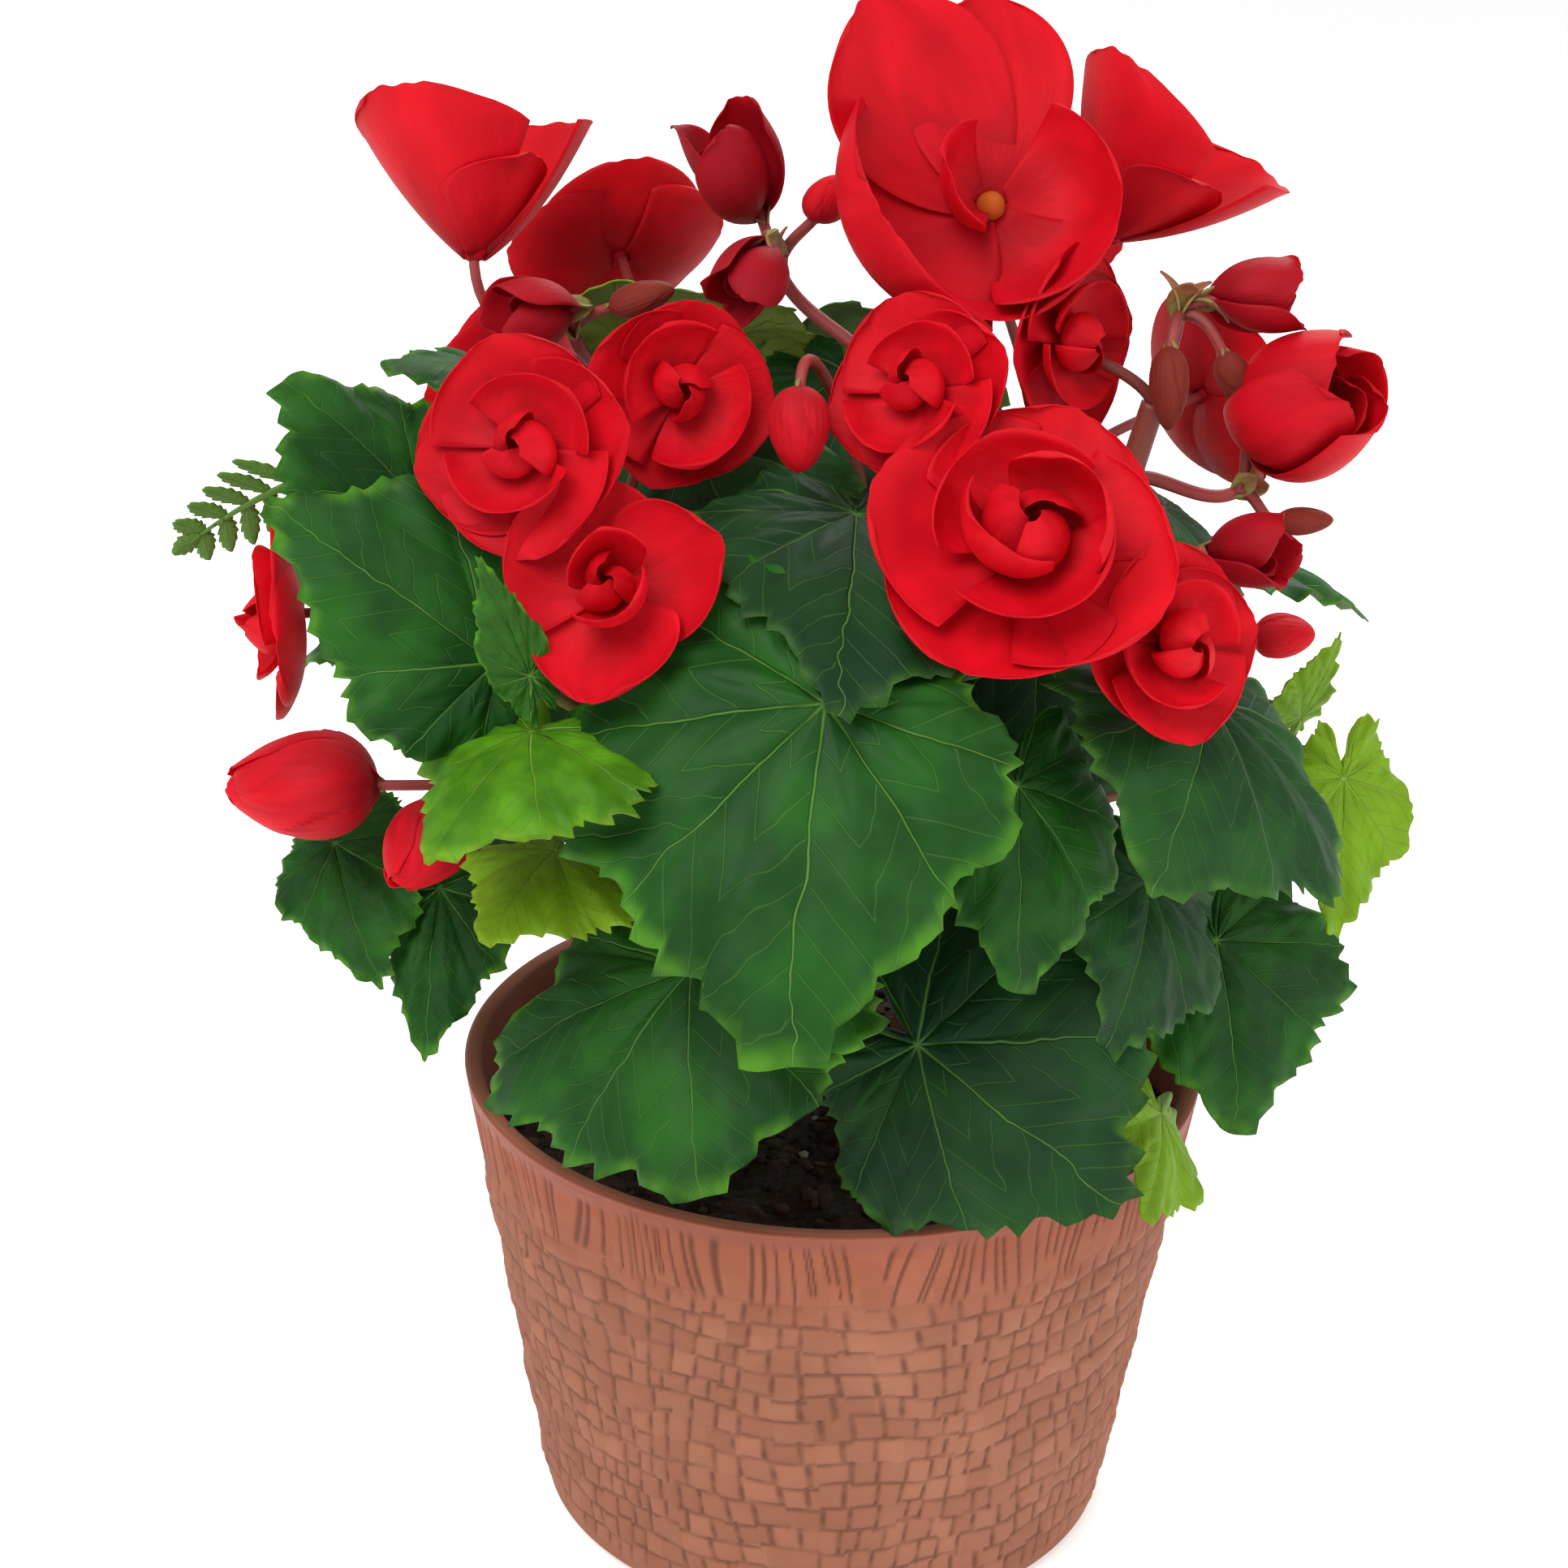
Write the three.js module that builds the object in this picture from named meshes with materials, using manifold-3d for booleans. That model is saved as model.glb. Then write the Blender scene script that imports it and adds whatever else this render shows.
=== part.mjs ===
// Potted begonia: a bushy winter-flowering begonia with double red blooms, in a tapered clay-red pot
// whose wall has a raised woven relief. Millimetres, +Z up. The origin is the centre of the pot's flat
// base, and the front is -Y.
import * as THREE from "three";
import { mergeVertices } from "three/addons/utils/BufferGeometryUtils.js";
import Module from "manifold-3d";

const wasm = await Module();
wasm.setup();

// ---------------------------------------------------------------- driving dimensions
const GAP = 0.3; // air between pieces that touch
const POT = {
  height: 96,
  rimRadius: 72.5,
  footRadius: 57,
  footRound: 5, // how far the flat underside stays in from the wall
  footBevel: 1.6,
  wall: 3.4,
  floor: 4,
  floorRound: 4,
  rimRound: 1,
  bandHeight: 8, // the plain band under the rim
  weaveDepth: 0.55,
  weaveRows: 8,
  weaveEven: 0.55, // the share of the weave's depth that every block has
  sides: 34,
  drainRadius: 4,
  drainCount: 3,
  drainRing: 30,
  drainSides: 8,
};
const SOIL = { top: 82, crown: 3, roughness: 1.1, sides: 18, rings: 3, rootDepth: 14, ease: 0.1 };
// Each main stem is upright up to `straight` above the soil's edge.
const STEM = { radius: 3.1, sides: 6, steps: 6, straight: 6 };
const BOW = 0.4; // how far a stalk runs on straight at its ends, as a share of its span
const PETIOLE = { radius: 0.95, swell: 0.012, rise: 0.5, lean: 0.3, sides: 3, steps: 2 };
const PEDICEL = { radius: 1.25, fork: 1.4, upright: 0.6, sides: 3, steps: 2, sunk: 0.06 };
const PLANT_HEART = 112; // the height on the pot's axis that every leaf's upper side faces away from
const LEAF = {
  thickness: 0.8, points: 24, inner: 0.55, tooth: 0.07,
  bend: 40, fall: 34, point: 0.13, wave: 0.02, waves: 5,
};
// A frond in place of a blade, in shares of its length: pairs of leaflets, where the first stands, the
// length of a leaflet at the root and how much of it is lost towards the tip, its width, how far it leans
// forward, and the half width of the rib that holds them.
const FROND = {
  pairs: 5, first: 0.02, length: 0.4, shorter: 0.64, wide: 0.07, slant: 0.55, rib: 0.03,
};
// A leaf's outline: its mean reach, how much further it goes forward, its lobes, the narrowness of its
// tip and of the notch at its stalk, the notch's depth, and how much larger one side is.
const OUTLINE = { reach: 0.56, forward: 0.2, lobe: 0.04, lobes: 5, narrow: 0.28, notch: 0.8, larger: 0.16 };
// A petal: those of flowers of a `large` radius have more facets. Its half width follows a sine from
// `start` on.
const PETAL = { thickness: 0.8, large: 27, widest: 1.05, start: 0.03, run: 0.8, blunt: 0.6, round: 0.1 };
// Petals still closed: how long and how full they are beside their half width, how a lone bud is
// flattened, the half width under which they have few facets, and the sides and rings of the two sorts.
const CLOSED = {
  length: 2.1, full: 1.15, taper: 0.4, flatness: 0.78, sunk: 0.2, small: 6.5, few: [5, 3], many: [6, 4],
};

// The five main stems: where each leaves the soil, its elbow, and its top.
const STEMS = [
  { root: [-14, -12], elbow: [-24, -20, 150], top: [-40, -26, 208] },
  { root: [3, -2], elbow: [2, -8, 160], top: [6, -12, 238] },
  { root: [19, -8], elbow: [32, -16, 150], top: [54, -12, 232] },
  { root: [-12, 17], elbow: [-24, 26, 150], top: [-38, 30, 214] },
  { root: [15, 18], elbow: [26, 28, 150], top: [38, 32, 214] },
];

// Each leaf: its stem and how far up it grows, where the blade meets its stalk, the tip, and where they
// differ from the usual: the roll about the midrib, the bend along it, the fall of the sides, the width,
// the larger side, how far the tip is drawn out, the height of the waves at its edge, whether it is young
// and light green, and whether it is a frond of small leaflets.
const LEAVES = [
  { stem: 1, at: 0.62, base: [-4, -76, 199], tip: [-10, -106, 144], bend: 26, fall: 40, side: -1 },
  { stem: 0, at: 0.25, base: [-26, -66, 145], tip: [-22, -94, 109], wide: 1.35, side: -1, point: 0.03 },
  {
    stem: 2, at: 0.2, base: [14, -62, 129], tip: [54, -82, 106],
    roll: 10, bend: 30, wide: 1.15, point: 0.06,
  },
  { stem: 2, at: 0.6, base: [63, -46, 189], tip: [50, -80, 167], roll: 4, wide: 1.3 },
  { stem: 0, at: 0.6, base: [-60, -57, 198], tip: [-98, -54, 224], bend: 30, wide: 0.9, side: -1 },
  { stem: 0, at: 0.8, base: [-77, -16, 212], tip: [-102, -12, 234], roll: 10 },
  { stem: 1, at: 0.74, base: [1, -38, 219], tip: [-2, -84, 200], roll: -10, bend: 34, wide: 1.1 },
  {
    stem: 0, at: 0.5, base: [-53, -66, 189], tip: [-67, -87, 173],
    roll: 8, wide: 1.3, wave: 0.06, young: true,
  },
  {
    stem: 0, at: 0.36, base: [-50, -57, 163], tip: [-60, -74, 152],
    roll: -8, wide: 1.3, wave: 0.09, young: true,
  },
  { stem: 2, at: 0.4, base: [29, -64, 180], tip: [29, -82, 148], bend: 20, fall: 70, wide: 0.9 },
  { stem: 2, at: 0.3, base: [54, -50, 156], tip: [45, -74, 134] },
  { stem: 2, at: 0.14, base: [70, -28, 134], tip: [75, -38, 98], roll: 50 },
  {
    stem: 2, at: 0.5, base: [93, -16, 162], tip: [91, -27, 134],
    roll: 50, bend: 26, wide: 0.7, wave: 0.05, young: true,
  },
  { stem: 3, at: 0.3, base: [-94, -18, 146], tip: [-84, -36, 125], roll: -50, wide: 0.9 },
  { stem: 3, at: 0.22, base: [-74, -24, 140], tip: [-76, -40, 112], roll: -60, wide: 0.6 },
  { stem: 3, at: 0.86, base: [-26, 22, 232], tip: [-50, 0, 246], roll: 10, wide: 1.2, young: true },
  { stem: 4, at: 0.86, base: [-6, 36, 214], tip: [1, 8, 243], wide: 1.2 },
  { stem: 3, at: 0.75, base: [-62, 16, 226], tip: [-86, 2, 231], roll: -30 },
  {
    stem: 2, at: 0.1, base: [60, -42, 105], tip: [54, -64, 95],
    roll: 30, wide: 0.9, wave: 0.06, young: true,
  },
  { stem: 3, at: 0.66, base: [-101, -4, 212], tip: [-122, -4, 199], roll: 70, bend: 30, frond: true },
  {
    stem: 0, at: 0.7, base: [-53, -68, 200], tip: [-61, -69, 221],
    roll: 40, bend: 10, fall: 60, wide: 0.42,
  },
  { stem: 4, at: 0.5, base: [87, 2, 167], tip: [93, 2, 184], roll: -50, bend: 20, wide: 0.7, young: true },
  { stem: 4, at: 0.6, base: [70, 34, 190], tip: [106, 48, 168], bend: 46 },
  { stem: 4, at: 0.36, base: [52, 56, 158], tip: [76, 88, 132], bend: 46 },
  { stem: 4, at: 0.7, base: [22, 64, 198], tip: [26, 104, 170], bend: 46, side: -1 },
  { stem: 3, at: 0.4, base: [-8, 66, 160], tip: [-12, 100, 128], bend: 46 },
  { stem: 3, at: 0.6, base: [-40, 58, 196], tip: [-66, 88, 172], bend: 46, side: -1 },
  { stem: 3, at: 0.5, base: [-72, 28, 182], tip: [-108, 36, 158], bend: 46 },
  { stem: 3, at: 0.16, base: [-52, 44, 140], tip: [-78, 66, 108], bend: 46 },
  { stem: 4, at: 0.14, base: [62, 22, 128], tip: [92, 38, 102], bend: 46, side: -1 },
];

// Each spray: its stem and how far up it grows, the fork where it holds more than one flower, and its
// flowers. A flower has its seat, the way it faces (turn from the front towards +X, lift above level),
// its spin and its radius.
const SPRAYS = [
  {
    name: "bloom_01", stem: 0, at: 0.95,
    flowers: [{ seat: [-54.5, -48, 233], turn: -16, lift: 24, spin: 20, size: 19.5 }],
  },
  {
    name: "bloom_02", stem: 0, at: 1,
    flowers: [{ seat: [-30, -28, 237], turn: 16, lift: 16, spin: 70, size: 17 }],
  },
  {
    name: "bloom_03", stem: 0, at: 0.9,
    flowers: [{ kind: "loose", seat: [-39, -59, 212], turn: -10, lift: 32, spin: 28, size: 20.5 }],
  },
  {
    name: "bloom_04", stem: 3, at: 1,
    flowers: [{ kind: "fan", seat: [-68, 4, 252], turn: 180, lift: 66, spin: 54, size: 28 }],
  },
  {
    name: "bloom_05", stem: 1, at: 1,
    flowers: [{ kind: "bowl", seat: [24, -2, 264], turn: 4, lift: 36, spin: 0, size: 30 }],
  },
  {
    name: "bloom_06", stem: 4, at: 1,
    flowers: [{ kind: "fan", seat: [47, 18, 254], turn: 110, lift: 54, spin: 104, size: 28 }],
  },
  {
    name: "bloom_07", stem: 1, at: 0.9,
    flowers: [{ seat: [12, -38, 241], turn: -30, lift: 26, spin: 30, size: 17 }],
  },
  {
    name: "bloom_08", stem: 2, at: 0.9,
    flowers: [{ seat: [28, -58, 219.5], turn: 2, lift: 47, spin: 66, size: 27 }],
  },
  {
    name: "bloom_09", stem: 2, at: 0.82, fork: [58, -36, 206],
    flowers: [
      { seat: [53, -59, 204], turn: 30, lift: 22, spin: 0, size: 17.5 },
      { kind: "half", seat: [63, -32, 211], turn: 60, lift: 10, spin: 0, size: 13 },
    ],
  },
  {
    name: "bloom_10", stem: 2, at: 0.9, fork: [70, -12, 216],
    flowers: [
      { kind: "cup", seat: [72, -10, 226], turn: 50, lift: 34, spin: 30, size: 22 },
      { kind: "bud", seat: [77, -20, 213], turn: 70, lift: 10, spin: 0, size: 5 },
    ],
  },
  {
    name: "bloom_11", stem: 2, at: 1,
    flowers: [{ seat: [37, -10, 242], turn: 50, lift: 4, spin: 0, size: 18 }],
  },
  {
    name: "bloom_12", stem: 0, at: 0.55,
    flowers: [{ kind: "bud", seat: [-86, -34, 165], turn: -90, lift: 0, spin: 0, size: 12.5 }],
  },
  {
    name: "bloom_13", stem: 3, at: 0.7,
    flowers: [{ seat: [-100, -8, 188], turn: -84, lift: 0, spin: 0, size: 21 }],
  },
  {
    name: "bloom_14", stem: 3, at: 0.96,
    flowers: [{ seat: [-44, 54, 240], turn: 200, lift: 30, spin: 0, size: 22 }],
  },
  {
    name: "bloom_15", stem: 4, at: 0.96,
    flowers: [{ seat: [30, 58, 250], turn: 156, lift: 28, spin: 30, size: 25 }],
  },
  {
    name: "bloom_16", stem: 4, at: 0.88,
    flowers: [{ seat: [70, 48, 216], turn: 124, lift: 10, spin: 60, size: 21 }],
  },
  {
    name: "bloom_17", stem: 3, at: 0.88,
    flowers: [{ seat: [-66, 54, 214], turn: 226, lift: 12, spin: 10, size: 20 }],
  },
  {
    name: "bud_01", stem: 1, at: 0.82,
    flowers: [{ kind: "bud", seat: [-9, -40, 241], turn: 0, lift: -70, spin: 90, size: 7 }],
  },
  {
    name: "bud_02", stem: 1, at: 0.96, fork: [-13, -4, 253],
    flowers: [
      { kind: "half", seat: [-17, 4, 262], turn: -70, lift: 62, spin: 0, size: 16 },
      { kind: "bud", seat: [-6, 2, 262], turn: 40, lift: 50, spin: 0, size: 5 },
      { kind: "half", seat: [-15, -12, 259], turn: -34, lift: -36, spin: 40, size: 12 },
    ],
  },
  {
    name: "bud_03", stem: 2, at: 1, fork: [58, -8, 247],
    flowers: [
      { kind: "half", seat: [64, -8, 250], turn: 88, lift: 4, spin: 0, size: 13 },
      { kind: "bud", seat: [56, -15, 242], turn: 0, lift: -70, spin: 90, size: 7 },
      { kind: "bud", seat: [66, -13, 241], turn: 60, lift: -60, spin: 90, size: 5 },
    ],
  },
  {
    name: "bud_04", stem: 3, at: 1, fork: [-50, 0, 240],
    flowers: [
      { kind: "half", seat: [-50, -6, 246], turn: -60, lift: 0, spin: 90, size: 13 },
      { kind: "bud", seat: [-42, -4, 246], turn: 80, lift: 20, spin: 0, size: 6 },
    ],
  },
  {
    name: "bud_05", stem: 0, at: 0.45,
    flowers: [{ kind: "bud", seat: [-70, -42, 163], turn: -36, lift: -30, spin: 0, size: 8.5 }],
  },
  {
    name: "bud_06", stem: 4, at: 0.66,
    flowers: [{ kind: "bud", seat: [77, -6, 186], turn: 70, lift: 10, spin: 0, size: 5.5 }],
  },
];

// The petal layers of a flower, from the outside in, in shares of its radius: how many petals, the root,
// middle and end of their curve as distance from the axis and height along it, half width, tilt,
// cupping, and the first petal's turn in shares of the way to the next.
const LAYERS = {
  open: [
    { petals: 4, root: [0.08, 0], mid: [0.6, -0.1], end: [1, 0.2], width: 0.9, tilt: 0.1, cupped: 0.03 },
    { petals: 3, root: [0.14, 0.08], mid: [0.6, 0.28], end: [0.7, 0.5], width: 0.64, tilt: 0.08, cupped: 0 },
  ],
  bowl: [
    { petals: 1, root: [0.08, 0.02], mid: [0.8, -0.1], end: [1.3, 0.3], width: 0.5, turn: 0.25 },
    { petals: 1, root: [0.08, 0], mid: [0.8, 0], end: [1.34, 0.5], width: 0.54, turn: 0.34 },
    { petals: 1, root: [0.08, 0.02], mid: [0.6, -0.1], end: [0.8, 0.3], width: 0.8, turn: 0.76 },
    { petals: 1, root: [0.1, 0.04], mid: [0.6, -0.02], end: [0.74, 0.5], width: 0.95, turn: 0.95 },
    { petals: 1, root: [0.1, 0.04], mid: [1.3, 0], end: [0.76, 0.75], width: 0.84, turn: 0.57 },
  ],
  fan: [
    { petals: 2, root: [0.06, 0], mid: [0.5, 0.34], end: [0.78, 1.02], width: 0.98, tilt: 0.04, turn: 0 },
    { petals: 2, root: [0.06, 0.04], mid: [0.4, 0.3], end: [0.52, 0.66], width: 0.5, tilt: 0.04, turn: 0.5 },
  ],
  loose: [
    { petals: 3, root: [0.08, 0], mid: [0.6, -0.1], end: [1, 0.3], width: 0.74, tilt: 0.06, cupped: 0.05 },
    { petals: 2, root: [0.14, 0.06], mid: [0.5, 0.3], end: [0.4, 0.66], width: 0.5, tilt: 0.06, cupped: 0 },
  ],
  half: [
    { petals: 3, root: [0.04, 0], mid: [0.66, 0.3], end: [0.4, 1.2], width: 0.6, tilt: 0.12, cupped: 0 },
  ],
  cup: [
    { petals: 4, root: [0.05, 0], mid: [0.9, 0.28], end: [0.3, 1.2], width: 0.64, tilt: 0.13, cupped: 0 },
  ],
};
// The closed petals in the middle, in the same shares.
const HEART = { open: 0.24, bowl: 0.24, fan: 0.2, loose: 0.22, cup: 0.22, half: 0.2 };

// ---------------------------------------------------------------- materials
const finish = (color, roughness) => new THREE.MeshStandardMaterial({ color, roughness, metalness: 0 });
const CLAY = finish(0xb06a50, 0.8);
const EARTH = finish(0x2a201b, 0.95);
const STEM_SKIN = finish(0x6b3a2c, 0.5);
const LEAF_SKIN = finish(0x2f6b35, 0.45);
const YOUNG_SKIN = finish(0x6c9a34, 0.45);
const PETAL_SKIN = finish(0xd4152a, 0.55);

// ---------------------------------------------------------------- solids
const TOUCH = 1e-4; // vertices this near to each other are one
const vector = (p) => new THREE.Vector3(...p);
const radians = THREE.MathUtils.degToRad;

// A three.js geometry as a solid with its shared vertices merged.
function solid(geometry) {
  geometry.deleteAttribute("normal");
  geometry.deleteAttribute("uv");
  const merged = mergeVertices(geometry, TOUCH);
  const vertProperties = Float32Array.from(merged.getAttribute("position").array);
  const triVerts = Uint32Array.from(merged.index.array);
  return new wasm.Manifold(new wasm.Mesh({ numProp: 3, vertProperties, triVerts }));
}

function geometryOf(body) {
  const mesh = body.getMesh();
  const geometry = new THREE.BufferGeometry();
  geometry.setAttribute("position", new THREE.BufferAttribute(mesh.vertProperties, 3));
  geometry.setIndex(new THREE.BufferAttribute(mesh.triVerts, 1));
  geometry.computeVertexNormals();
  return geometry;
}

const union = (bodies) => bodies.reduce((all, body) => all.add(body));
const largest = (body) => body.decompose().reduce((a, b) => (b.volume() > a.volume() ? b : a));

// A profile of [radius, height] points turned about +Z.
function turned(profile, sides) {
  const points = profile.map(([r, z]) => new THREE.Vector2(r, z));
  return new THREE.LatheGeometry(points, sides).rotateX(Math.PI / 2);
}

// A round stalk along a curve.
function stalk(curve, radius, sides, steps) {
  const section = new THREE.Shape();
  for (let i = 0; i < sides; i++) {
    const turn = (2 * Math.PI * i) / sides;
    const [x, y] = [radius * Math.cos(turn), radius * Math.sin(turn)];
    if (i) section.lineTo(x, y);
    else section.moveTo(x, y);
  }
  return solid(new THREE.ExtrudeGeometry(section, { steps, bevelEnabled: false, extrudePath: curve }));
}

// A curve that leaves `start` along `out` and arrives at `end` along `arrive`.
function bow(start, out, end, arrive) {
  const reach = start.distanceTo(end) * BOW;
  const first = start.clone().addScaledVector(out, reach);
  const second = end.clone().addScaledVector(arrive, -reach);
  return new THREE.CubicBezierCurve3(start, first, second, end);
}

// A thin blade: middle points, triangles that face its upper side, and its edge as an anticlockwise loop.
function blade(points, faces, edge, thickness) {
  const middle = new THREE.BufferGeometry().setFromPoints(points);
  middle.setIndex(faces.flat());
  middle.computeVertexNormals();
  const normals = middle.getAttribute("normal");
  const normal = (i) => new THREE.Vector3().fromBufferAttribute(normals, i);
  const side = (share) => points.map((p, i) => p.clone().addScaledVector(normal(i), share * thickness));
  const n = points.length;
  const index = faces.flatMap(([a, b, c]) => [a, b, c, n + a, n + c, n + b]);
  edge.forEach((a, i) => {
    const b = edge[(i + 1) % edge.length];
    index.push(n + a, n + b, b, n + a, b, a);
  });
  const geometry = new THREE.BufferGeometry().setFromPoints([...side(0.5), ...side(-0.5)]);
  geometry.setIndex(index);
  return solid(geometry);
}

// Seeded random numbers from 0 to 1.
function dice(seed) {
  let state = seed;
  return () => {
    state = (state * 16807) % 2147483647;
    return state / 2147483647;
  };
}

// ---------------------------------------------------------------- the pot
// The wall's outside radius at a height.
const wallRadius = (z) => POT.footRadius + ((POT.rimRadius - POT.footRadius) * z) / POT.height;

function potProfile(grow) {
  const weaveTop = POT.height - POT.bandHeight;
  const out = grow ? grow + POT.weaveDepth : 0;
  const outside = [
    [0, -grow],
    [wallRadius(0) - POT.footRound + grow, -grow],
    [wallRadius(0) - POT.footBevel + grow, POT.footBevel],
  ];
  for (let row = 0; row <= POT.weaveRows; row++) {
    const z = POT.footRound + ((weaveTop - POT.footRound) * row) / POT.weaveRows;
    outside.push([wallRadius(z) + out, z]);
  }
  const rim = [
    [POT.rimRadius + grow, POT.height - POT.rimRound],
    [POT.rimRadius - POT.rimRound + grow, POT.height + grow],
    [POT.rimRadius - POT.wall + POT.rimRound - grow, POT.height + grow],
    [POT.rimRadius - POT.wall - grow, POT.height - POT.rimRound],
  ];
  const bend = POT.floor + POT.floorRound;
  const inside = [
    [wallRadius(bend) - POT.wall - grow, bend + grow],
    [wallRadius(POT.floor) - POT.wall - POT.floorRound - grow, POT.floor + grow],
    [0, POT.floor + grow],
  ];
  return [...outside, ...rim, ...inside];
}

function pot() {
  const geometry = turned(potProfile(0), POT.sides);
  const points = geometry.getAttribute("position");
  const weaveTop = POT.height - POT.bandHeight;
  const pitch = (weaveTop - POT.footRound) / POT.weaveRows;
  const roll = dice(7);
  // Blocks stand out and lie back in turn, as in a basket, each by its own amount.
  const depth = () => POT.weaveDepth * (POT.weaveEven + (1 - POT.weaveEven) * roll());
  const cells = Array.from({ length: POT.sides * (POT.weaveRows + 1) }, depth);
  for (let i = 0; i < points.count; i++) {
    const [x, y, z] = [points.getX(i), points.getY(i), points.getZ(i)];
    const radius = Math.hypot(x, y);
    const woven = z > POT.footRound + 1 && z < weaveTop - 1 && radius > wallRadius(z) - 1;
    if (!woven) continue;
    const column = Math.round((Math.atan2(y, x) / (2 * Math.PI) + 1) * POT.sides) % POT.sides;
    const row = Math.round((z - POT.footRound) / pitch);
    const way = (row + column) % 2 ? -1 : 1;
    const raise = 1 + (way * cells[row * POT.sides + column]) / radius;
    points.setXY(i, x * raise, y * raise);
  }
  const drains = [];
  for (let i = 0; i < POT.drainCount; i++) {
    const turn = (2 * Math.PI * (i + 0.25)) / POT.drainCount;
    const hole = new THREE.CylinderGeometry(POT.drainRadius, POT.drainRadius, 3 * POT.floor, POT.drainSides);
    hole.rotateX(Math.PI / 2).translate(POT.drainRing * Math.cos(turn), POT.drainRing * Math.sin(turn), 0);
    drains.push(solid(hole));
  }
  return solid(geometry).subtract(union(drains));
}

// ---------------------------------------------------------------- the potting soil
function soil() {
  const inner = (z) => (wallRadius(z) - POT.wall) * Math.cos(Math.PI / POT.sides) - GAP - SOIL.ease;
  const bottom = POT.floor + GAP + SOIL.ease;
  const bend = bottom + POT.floorRound;
  const profile = [
    [0, bottom],
    [inner(bottom) - POT.floorRound, bottom],
    [inner(bend), bend],
    [inner(SOIL.top), SOIL.top],
  ];
  for (let ring = 1; ring <= SOIL.rings; ring++) {
    const share = 1 - ring / SOIL.rings;
    profile.push([inner(SOIL.top) * share, SOIL.top + SOIL.crown * (1 - share * share)]);
  }
  const geometry = turned(profile, SOIL.sides);
  const points = geometry.getAttribute("position");
  for (let i = 0; i < points.count; i++) {
    const [x, y, z] = [points.getX(i), points.getY(i), points.getZ(i)];
    if (z < SOIL.top + 0.1) continue;
    points.setZ(i, z + SOIL.roughness * Math.sin(0.31 * x + 1) * Math.cos(0.27 * y - 0.4));
  }
  return solid(geometry);
}

// ---------------------------------------------------------------- stems
function stemCurve({ root, elbow, top }) {
  const bottom = SOIL.top - SOIL.rootDepth;
  const points = [[...root, bottom], [...root, SOIL.top + STEM.straight], elbow, top];
  return new THREE.CatmullRomCurve3(points.map(vector), false, "centripetal");
}
const stemCurves = STEMS.map(stemCurve);
const stem = (curve, grow) => stalk(curve, STEM.radius + grow, STEM.sides, STEM.steps);

// ---------------------------------------------------------------- leaves
// The outline of a begonia leaf as a share of its length, at an angle from the tip: a drawn-out tip,
// broad lobed shoulders, one side larger, and a notch where the stalk meets it.
function leafReach(angle, { side = 1, point = LEAF.point }) {
  const peak = (turn) => Math.exp(-((turn / OUTLINE.narrow) ** 2));
  const lobes = OUTLINE.lobe * Math.cos(OUTLINE.lobes * angle);
  const reach = OUTLINE.reach + OUTLINE.forward * Math.cos(angle) + lobes + point * peak(angle);
  const notch = 1 - OUTLINE.notch * peak(Math.PI - Math.abs(angle));
  return reach * (1 + OUTLINE.larger * side * Math.sin(angle)) * notch;
}

// The leaf's own frame: start of the midrib, width, and the upper side's normal, with its length along
// the curve.
function leafFrame({ base, tip, roll = 0, bend = LEAF.bend }) {
  const [start, end] = [vector(base), vector(tip)];
  const chord = end.clone().sub(start);
  const outward = start.clone().sub(new THREE.Vector3(0, 0, PLANT_HEART));
  const along = chord.clone().normalize();
  const up = outward.addScaledVector(along, -outward.dot(along)).normalize();
  up.applyAxisAngle(along, radians(roll));
  const across = new THREE.Vector3().crossVectors(up, along);
  const half = radians(bend) / 2;
  const length = (chord.length() * half) / Math.sin(half);
  for (const way of [up, along]) way.applyAxisAngle(across, -half);
  return { start, across, up, along, length };
}

// A point of the leaf's curved middle sheet, from flat shares of its length along and across the midrib,
// and raised from it by another.
function leafPoint(frame, leaf, p, q, rise = 0) {
  const [bend, fall] = [radians(leaf.bend ?? LEAF.bend), radians(leaf.fall ?? LEAF.fall)];
  const turn = bend * p;
  const forward = Math.sin(turn) / bend;
  const down = (1 - Math.cos(turn)) / bend;
  const sideways = Math.sin(fall * q) / fall;
  const sag = (1 - Math.cos(fall * q)) / fall - rise;
  return frame.start
    .clone()
    .addScaledVector(frame.along, frame.length * (forward - sag * Math.sin(turn)))
    .addScaledVector(frame.up, -frame.length * (down + sag * Math.cos(turn)))
    .addScaledVector(frame.across, frame.length * sideways);
}

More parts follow.
